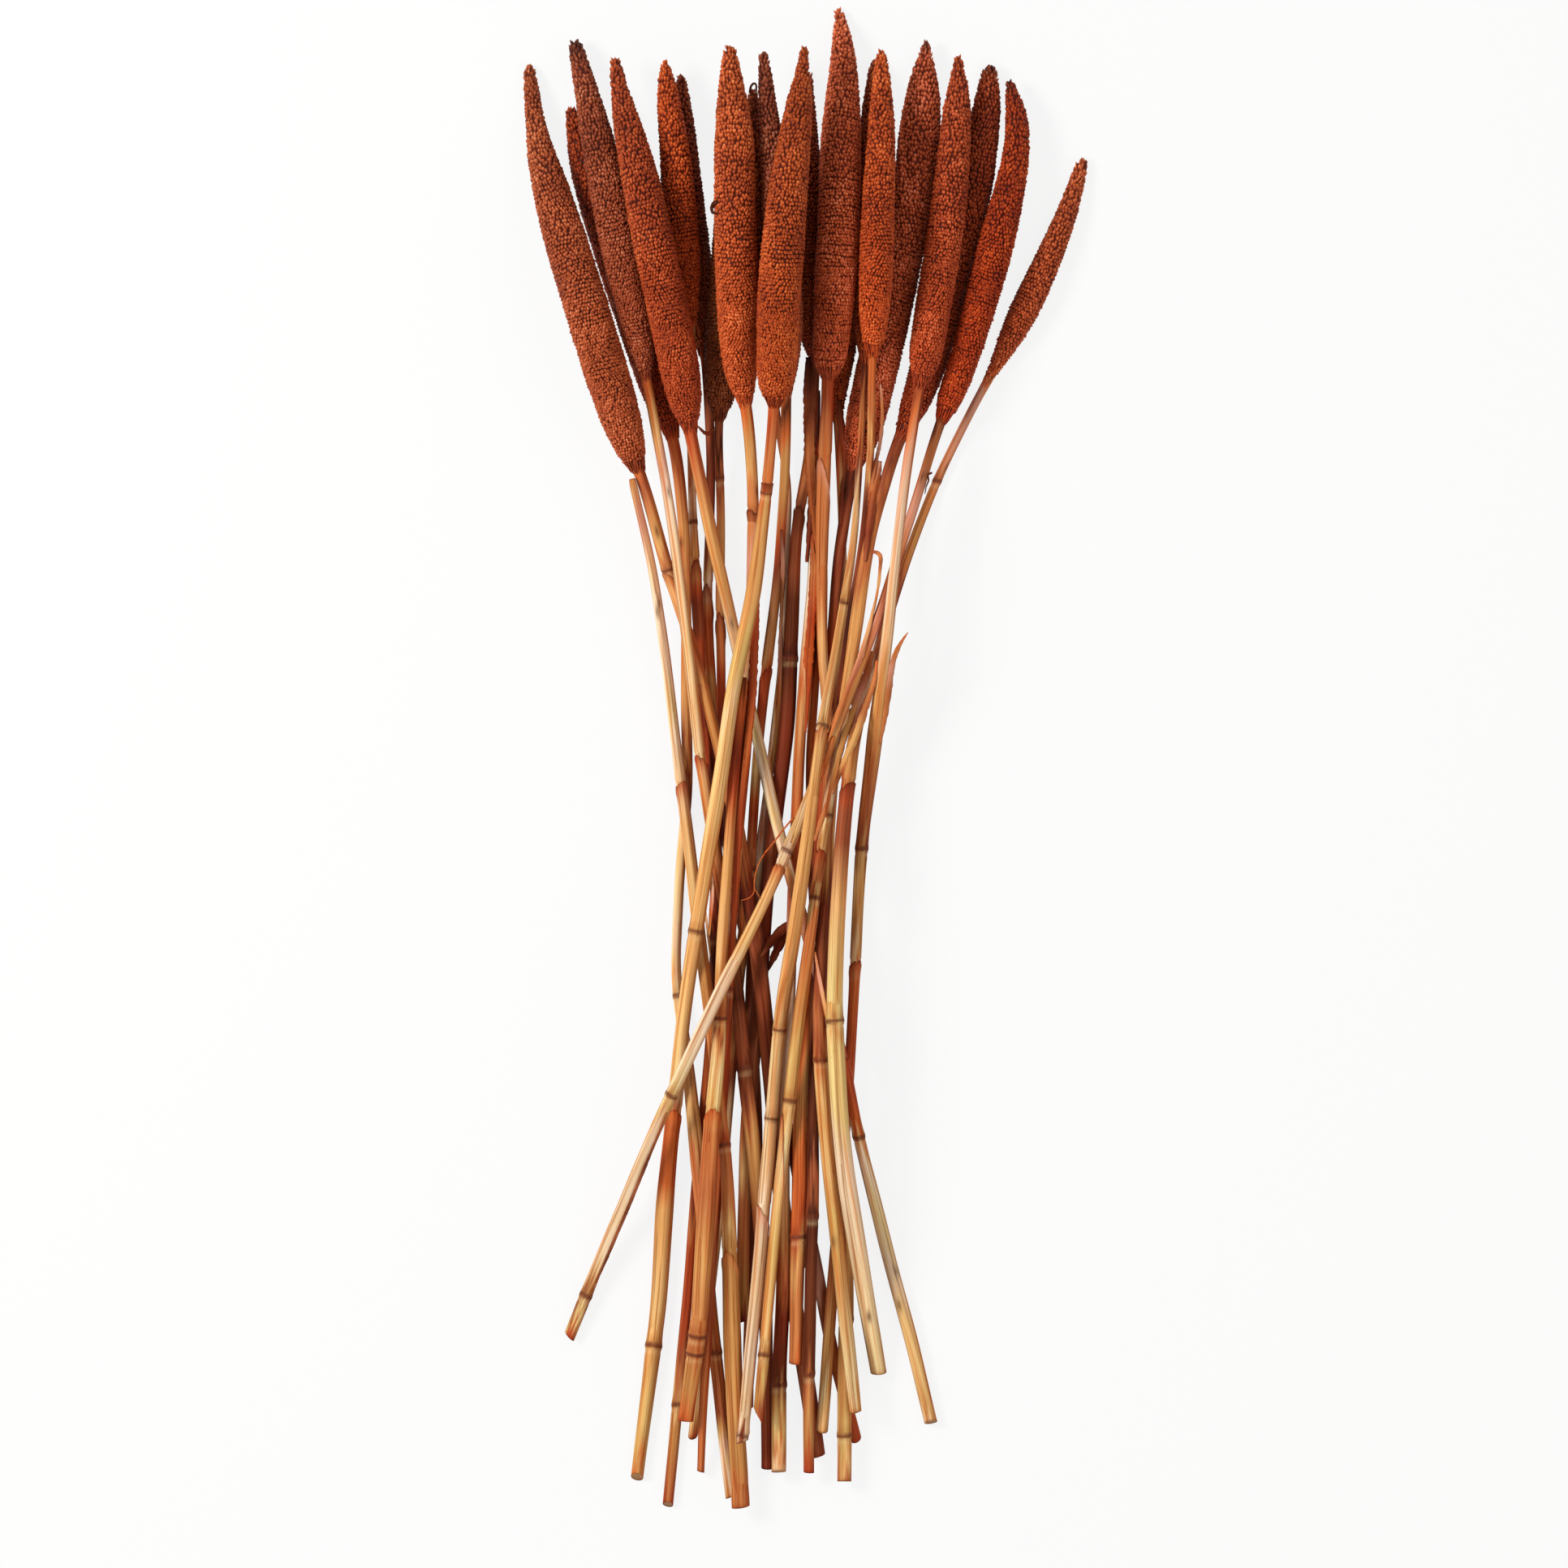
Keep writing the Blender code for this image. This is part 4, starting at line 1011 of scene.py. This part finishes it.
def paper_grid(name, sides, steps):
    """A flat grid, with its points' places across it and up it, and the lanes that they are in."""
    bpy.ops.mesh.primitive_grid_add(x_subdivisions=sides, y_subdivisions=steps, size=2.0)
    piece = bpy.context.object
    piece.name = name
    grid = np.array([vertex.co for vertex in piece.data.vertices])
    across = grid[:, 0]
    lane = np.round((across + 1) / 2 * sides).astype(int)
    return piece, across, grid[:, 1], lane


def thicken(piece, thickness):
    """Gives a sheet its wall, on its outer side."""
    bpy.context.view_layer.objects.active = piece
    wall = piece.modifiers.new("wall", "SOLIDIFY")
    wall.thickness = thickness
    wall.offset = 1.0
    bpy.ops.object.modifier_apply(modifier=wall.name)


for number, sheath in enumerate(SHEATHS):
    chance = np.random.default_rng(500 + number)
    stem = stems[sheath.stalk]
    mouth_at, joint = stem.line.level(np.array((sheath.mouth, sheath.joint)) * MM)
    name = f"{stem.node}_sheath_{number + 1}"
    steps = round((joint - mouth_at) / SHEATH_STEP)
    piece, across, upward, lane = paper_grid(name, SHEATH_SIDES, steps)
    torn = np.abs(chance.normal(0, TORN, SHEATH_SIDES + 1)) * MM
    mouth = mouth_at + sheath.slant * MM * np.abs(across) ** 1.5 + torn[lane]
    distance = mouth + (joint - mouth) * ((upward + 1) / 2)
    from_mouth = (distance - mouth) / MM
    turn = sheath.turn + across * (math.pi * sheath.wrap * (1 - MOUTH_OPENS * np.exp(-from_mouth / 7)))
    lift = SHEATH_LIFT + SHEATH_FLARE * np.exp(-from_mouth / 3) + SHEATH_LAP * (across + 1) / 2
    to_joint = np.clip((joint - distance) / SHEATH_FOOT, 0, 1)
    radius = stem.girth(distance, turn) + lift * to_joint - SHEATH_TUCK * (1 - to_joint)
    set_places(piece, stem.place(distance, turn, radius))
    colors = stem.colors(np.maximum(distance, mouth_at + MOUTH_KEEPS))
    colors *= chance.normal(1, 0.08, SHEATH_SIDES + 1)[lane][:, None]
    # The sheath gets the same painted shade on its side that faces away from the lamp.
    colors = stem.painted_shade_and_lap(colors, distance, turn)
    colors = mix(colors, TINTS[sheath.tint], 0.8 * bell(from_mouth, 5))
    colors = mix(colors, colors * LAP_TINT, 0.7 * np.exp(-from_mouth / 0.8))
    colors = mix(colors, colors * LAP_TINT, 0.8 * (np.abs(across) > EDGE))
    grown = round_places(radius, turn, distance) + 11.0 + number * 41.0
    finish_piece(piece, stem.node, colors, grown)
    thicken(piece, SHEATH_WALL)

# Scraps of dry leaf still hang on the bunch: strips that peeled off the sheaths, a torn flap at
# the waist and a blade that points off to the right. They are as thin as paper, and fold.

STRIP_SIDES = 6
STRIP_STEP = 1.0 * MM
STRIP_WALL = 0.12 * MM
STRIP_EASE = 3.0
STRIP_GAP = 0.1 * MM
TWIST = 0.3
UNEVEN_WIDTH = 0.08

# Each strip has its name, the stalk that it grew on, the stalks that pass over it, how much its
# edges fold down, and its places: x, y, width and height over the stems in millimetres, and colour.
Strip = namedtuple("Strip", "name stalk passing fold places")
STRIPS = [
    Strip("dangling_leaf", "17", "", 0.3,
          "22.4 70 0.8 0.4 brick, 24 69.9 1 1 brown, 25.5 70.7 1.6 1.8 amber, 26.3 68.8 1.9 2.2 amber, "
          "25.2 66.6 0.8 2 brown, 24.8 63.9 1.1 1.6 tan, 25 60.3 1.1 1.3 honey, 24.1 56.2 0.8 1 amber, "
          "23 50.2 0.8 0.8 tan, 21.4 44.2 0.4 0.6 tan"),
    Strip("pale_strip", "18", "16", 0.25,
          "23.6 54.3 0.5 0.4 honey, 21.4 44.2 1.4 0.4 cream, 17.8 32.4 1.9 0.4 rose, "
          "14 22.8 1.9 0.4 tan, 10.7 14.6 1.4 0.4 amber, 7.4 5.6 0.5 0.3 amber"),
    Strip("blade", "16", "", 0.5,
          "34.4 42.7 0.2 2.2 orange, 32.9 40.9 0.8 2 orange, 31.3 38.2 1.4 1.6 amber, "
          "29.6 34.9 1.6 0.9 amber, 28.8 30.5 1.9 0.3 rose, 28 22.8 2.2 0.2 tan, "
          "26.6 13.3 1.6 0.2 amber, 25 5 0.5 0.2 tan"),
    Strip("head_leaf", "17", "", 0.3,
          "25.2 126.6 0.5 1.2 rose, 25.8 120 1.1 1 amber, 25.9 113.2 1.2 0.8 tan, "
          "25 105.2 1.1 0.6 rose, 23.3 99.5 1.4 0.4 brown, 21.9 91.3 1.4 0.3 tan, "
          "21.1 80.3 0.8 0.3 brick"),
    Strip("torn_sheath_17", "17", "", 0.6,
          "25 100.6 1.4 0.6 rose, 23.9 94 2.7 0.4 tan, 22.5 85.8 3 0.3 brown, 21.1 76.2 2.5 0.3 russet, "
          "20 66.6 1.1 0.2 brown"),
    Strip("leaf_11_top", "11", "12", 0.4,
          "1.4 135.6 2.7 0.3 dusk, 1.1 125.5 3.8 0.4 umber, 1.3 114.5 4.1 0.4 brown, "
          "1.4 103.6 4.1 0.4 amber, 2 92.6 3.8 0.4 tan, 2.8 82.5 2.5 0.3 amber, 3.6 73.5 1.4 0.3 tan, "
          "4.2 62.5 0.8 0.3 brown"),
    Strip("leaf_11_side", "11", "12", 0.5,
          "4.2 102.2 1.4 0.3 tan, 2.8 94 2.7 0.3 amber, 2 85.8 2.7 0.3 brown, 1.4 77.6 1.9 0.3 russet, "
          "0.3 66.6 0.8 0.3 russet"),
    Strip("strip_19", "19", "16", 0.35,
          "22.5 36.5 1.1 0.5 tan, 21 29.9 2.5 0.5 tan, 18 22.1 2.7 0.5 rose, 15.9 15.6 2.5 0.5 khaki, "
          "13.3 9 2.2 0.5 khaki, 11.5 2.5 2.2 0.5 honey, 9.7 -4.6 1.9 0.5 honey, "
          "7.9 -11.8 1.1 0.4 amber, 6.7 -19.5 0.4 0.3 orange"),
    Strip("strip_16", "16", "16", 0.35,
          "24.1 33.2 1.1 0.4 orange, 23.4 26.9 1.6 0.5 amber, 21 20.4 2.2 0.7 amber, "
          "19.5 15.6 2.5 0.9 tan, 17.7 10.2 2.5 0.9 honey, 15.7 4.8 2.5 0.9 honey, "
          "13.3 0.1 2.2 0.8 honey, 10.9 -5.9 1.6 0.6 amber, 9.2 -11.7 0.5 0.4 amber"),
    Strip("sliver_18", "18", "13", 0.3,
          "2.8 -5.9 0.5 0.3 tan, 2.2 -9.5 1.4 0.4 honey, -0.4 -16.6 1.9 0.5 cream, "
          "-2.8 -24.2 1.6 0.5 maize, -4.7 -29.4 0.5 0.4 khaki"),
    Strip("sliver_13", "b3", "13", 0.3,
          "-0.8 -14.1 0.5 0.3 cream, -2.3 -19 1.1 0.4 cream, -3.8 -24.2 0.8 0.4 maize, "
          "-5.2 -28.1 0.3 0.4 khaki"),
    Strip("sliver_17", "17", "", 0.35,
          "9.4 7.8 0.8 0.4 orange, 8.3 3.7 1.9 0.5 amber, 6.3 -1.8 1.9 0.5 orange, "
          "5.3 -6.7 0.5 0.4 brick"),
    Strip("strip_17_low", "17", "", 0.35,
          "7.4 -14.1 0.5 0.4 brick, 6.2 -17.7 1.6 0.5 amber, 4.7 -22.3 1.9 0.5 amber, "
          "2.9 -27.5 0.8 0.4 tan"),
    Strip("sliver_10", "10", "10", 0.3,
          "-32.1 -35.7 0.4 0.3 rose, -31.6 -40.1 1.4 0.4 cream, -31.3 -46.3 1.6 0.4 rose, "
          "-32 -52.2 1.1 0.4 orange, -32.5 -59.3 0.5 0.3 honey"),
    Strip("sliver_b1", "b1", "b1 10", 0.3,
          "-34.4 -48.3 0.4 0.3 rose, -33.3 -53.8 1 0.4 cream, -32.8 -60.6 0.8 0.4 maize, "
          "-32.2 -66.4 0.3 0.3 honey"),
    Strip("flap_left", "b3", "13 b3", 0.3,
          "-5.7 -55.7 2.5 0.6 russet, -8.2 -57.4 3.8 0.8 brown, -10.6 -59.8 3.3 1 russet, "
          "-12.8 -63.1 2.2 1 umber, -14.5 -65.8 1.1 0.8 brown, -15.6 -66.9 0.3 0.6 umber"),
    Strip("flap_right", "b3", "13 b3", 0.3,
          "-5.7 -56.5 2.7 0.3 russet, -7.3 -59.3 3.8 0.4 umber, -9.3 -63.1 3.6 0.5 russet, "
          "-10.9 -66.9 2.5 0.5 brown, -12 -69.4 1.4 0.5 umber, -12.7 -71.3 0.4 0.4 umber"),
    Strip("horn", "20", "04", 0.3,
          "-36.6 112.6 0.4 0.8 brown, -35 111 1 0.8 umber, -33.3 109 1.4 0.6 russet, "
          "-32 110.1 1.4 0.4 russet, -30.9 112.1 0.8 0.4 umber"),
    Strip("leaf_21", "21", "12", 0.4,
          "11.3 121.4 1.4 0.3 umber, 12.1 113.2 2.2 0.3 russet, 13.2 103.6 2.5 0.3 brick, "
          "13.2 94 2.2 0.3 brown, 12.1 85.8 1.9 0.3 russet, 11.8 78.9 0.8 0.3 russet"),
    Strip("strip_b3", "b3", "12", 0.4,
          "2 76.2 0.8 0.3 brick, 2.8 63.9 2.5 0.3 amber, 2 47.5 2.7 0.3 brick, 0.9 33.8 3.6 0.3 orange, "
          "0.3 22.8 2.7 0.3 brick, -0.2 9.1 1.1 0.3 brick"),
    Strip("strip_8", "08", "04 10 18", 0.4,
          "-8.2 77.6 0.5 0.3 umber, -7.6 66.6 1.4 0.3 rose, -7.9 55.7 1.4 0.3 amber, "
          "-8.4 39.3 1.6 0.3 rose, -8.7 22.8 1.6 0.3 amber, -10.1 6.4 1.4 0.3 honey, "
          "-11.7 -7.3 1.1 0.3 amber, -12.8 -18.2 0.4 0.3 amber"),
    Strip("strip_7", "07", "10 18", 0.4,
          "-16.9 63.9 0.8 0.3 amber, -16.6 52.9 2.2 0.3 brick, -17.2 39.3 2.7 0.3 brick, "
          "-18 22.8 3 0.3 brick, -19.7 3.7 2.7 0.3 orange, -21.8 -15.5 2.5 0.3 brick, "
          "-23.2 -34.6 2.2 0.3 brick, -24.3 -53.8 2.2 0.3 brick, -25.4 -73 1.1 0.3 brick"),
    Strip("strip_18", "18", "", 0.3,
          "-46.8 -118.9 0.4 0.2 brown, -50.3 -128 0.8 0.2 brown, -53.7 -136.2 1 0.2 umber, "
          "-57 -144.4 1 0.2 brown, -60.3 -152.6 1 0.2 umber, -63.9 -160.8 1 0.2 brown, "
          "-67.3 -169 0.8 0.2 umber, -70.8 -176.7 0.4 0.2 brown"),
    Strip("filler_12", "12", "15 12 14 17", 0.2,
          "5.5 -59.3 1.6 0.3 umber, 4.7 -81.2 3.3 0.3 umber, 3.3 -105.8 3.8 0.3 umber, "
          "2 -133.2 3.8 0.3 umber, 1.1 -155.1 2.7 0.3 russet, 0.6 -171.5 0.8 0.3 umber"),
    Strip("leaf_13", "14", "19 17", 0.3,
          "3.1 -64.8 0.5 0.3 amber, 4.7 -74.3 1.6 0.4 rose, 6.6 -83.9 1.6 0.4 honey, "
          "8.5 -93.5 0.8 0.3 orange"),
]


def stems_reach(x, y, host, passing):
    """How high the stems reach at these places, and how low those that pass over them reach.

    Beside the stems a scrap keeps the height of the stalk that it grew on.
    """
    over = [stalk(short) for short in passing.split()]
    floor_side = np.interp(y, lines[host].middles[::-1, 1], lines[host].middles[::-1, 2])
    ceiling = np.full(len(x), 1.0)
    for node, line in lines.items():
        rising = line.middles[::-1]
        middle, height, radius, slant = (
            np.interp(y, rising[:, 1], values, left=0.0, right=0.0) for values in (
                rising[:, 0], rising[:, 2], line.radii[::-1], np.gradient(rising[:, 0], rising[:, 1])))
        away = np.abs(x - middle) / np.sqrt(1 + slant**2)
        rise = np.sqrt(np.clip(radius**2 - away**2, 0, None))
        if node in over:
            ceiling = np.where(away < radius, np.minimum(ceiling, height - rise), ceiling)
        else:
            floor_side = np.where(away < radius, np.maximum(floor_side, height + rise), floor_side)
    return floor_side, ceiling


def bridged(heights, reach):
    """These heights, raised to the highest of their neighbours, so that no gap pulls them down."""
    return np.array([heights[max(i - reach, 0):i + reach + 1].max() for i in range(len(heights))])


def rows_of(text):
    """The numbers of each row of a list of places, and the words after them."""
    rows = [row.split() for row in text.split(",")]
    return np.array([[float(word) for word in row[:4]] for row in rows]) * MM, [row[-1] for row in rows]


for number, strip in enumerate(STRIPS):
    chance = np.random.default_rng(700 + number)
    places, names = rows_of(strip.places)
    walk = walked(np.diff(places[:, :2], axis=0))
    count = max(round(walk[-1] / STRIP_STEP), 18)
    samples = np.linspace(0, walk[-1], count + 1)
    x, y, width, lift = between(samples, walk, places).T
    x, y, width = (eased(values, STRIP_EASE) for values in (x, y, width))
    low, high = stems_reach(x, y, stalk(strip.stalk), strip.passing)
    height = eased(np.minimum(bridged(low, 5) + lift, high - STRIP_GAP), STRIP_EASE)
    width *= 1 + UNEVEN_WIDTH * chance.normal(0, 1, count + 1)

    piece, across, upward, lane = paper_grid(strip.name, STRIP_SIDES, count)
    step = np.round((1 - upward) / 2 * count).astype(int)
    heading = unit(np.stack([np.gradient(x), np.gradient(y)], axis=1))
    half = width[step] / 2
    roll = TWIST * np.sin(samples[step] / MM * 0.12 + number)
    aside = across * half * np.cos(roll)
    set_places(piece, np.stack([
        x[step] - heading[step, 1] * aside,
        y[step] + heading[step, 0] * aside,
        height[step] + across * half * np.sin(roll) - strip.fold * half * across**2,
    ], axis=1))
    colors = between(samples, walk, np.array([TINTS[name] for name in names]))[step]
    colors *= chance.normal(1, 0.1, STRIP_SIDES + 1)[lane][:, None]
    colors = mix(colors, colors * LAP_TINT, 0.5 * (np.abs(across) > 0.9))
    grown = np.stack([across * half, 0.3 * half, samples[step]], axis=1) / MM + 23.0 + number * 29.0
    finish_piece(piece, stalk(strip.stalk), colors, grown)
    thicken(piece, STRIP_WALL)

# A tendril curls off the waist of the bunch, and dry hairs stick out here and there. Each has its
# name, its stalk, the stalks that pass over it, its thickness, its colour, and its places.
THREAD_SIDES = 6
THREAD_SAMPLES = 80
THREAD_GAP = 0.3 * MM
THREAD_TAPER = 0.6
Thread = namedtuple("Thread", "name stalk passing thick tint places")
THREADS = [
    Thread("tendril", "18", "18", 0.75, "orange",
           "-4 -19.5 0.5, -7.6 -23.7 0.8, -11.1 -28.5 1.4, -13.5 -31.1 2, -15.9 -35 2.2, "
           "-17.1 -39.2 1.6, -17.5 -43 1, -16.9 -44.2 0.8, -18 -46.3 0.7, -19.7 -47.2 0.6, "
           "-21.8 -47.5 0.5"),
    Thread("tendril_fork", "18", "", 0.45, "orange", "-17.3 -43.6 0.8, -16.2 -45.2 0.9, -15.2 -47 0.8"),
    Thread("curl", "18", "", 0.9, "umber",
           "42.4 96.6 1.6, 41.1 95.9 1.8, 41.5 94 1.4, 40.6 92 0.6, 40.2 89.5 0.2"),
    Thread("hook", "08", "", 1.0, "umber",
           "-18.8 224.5 -0.3, -18.6 226.7 0.3, -17.5 228.1 0.8, -16.6 227.6 0.9, -16.6 225.9 0.6, "
           "-16.9 223.2 0.3, -17.2 219.3 0.1, -17.2 215.8 -0.3"),
    Thread("bud", "07", "", 1.9, "dusk",
           "-29.5 187.3 -0.5, -30.9 186.8 0.2, -31.7 185.4 0.6, -31.4 183.8 0.2, -29.8 183.2 -0.5"),
]

rod, rod_turn, rod_share, rod_down = blank_rod(THREAD_SIDES, (50,))
for number, thread in enumerate(THREADS):
    places, _ = rows_of(thread.places)
    walk = walked(np.diff(places[:, :2], axis=0))
    samples = np.linspace(0, walk[-1], THREAD_SAMPLES)
    x, y, lift = (eased(values, 3.0) for values in between(samples, walk, places).T)
    low, high = stems_reach(x, y, stalk(thread.stalk), thread.passing)
    height = eased(np.minimum(bridged(low, 10) + lift, high - THREAD_GAP), 4.0)
    middles = np.stack([x, y, height], axis=1)
    along = unit(np.gradient(middles, axis=0))
    side = unit(np.cross(along, (0, 0, 1)))
    position = rod_down * walk[-1]
    middle, aside, upward = (
        between(position, samples, rows) for rows in (middles, side, np.cross(side, along)))
    radius = thread.thick * MM / 2 * rod_share * (1 - THREAD_TAPER * rod_down)
    piece = add_piece(thread.name, rod.data.copy())
    spot = middle + outward(aside, upward, rod_turn) * radius[:, None]
    set_places(piece, spot)
    colors = np.tile(TINTS[thread.tint], (len(spot), 1))
    finish_piece(piece, stalk(thread.stalk), colors, spot / MM + number * 19.0)
bpy.data.objects.remove(rod)
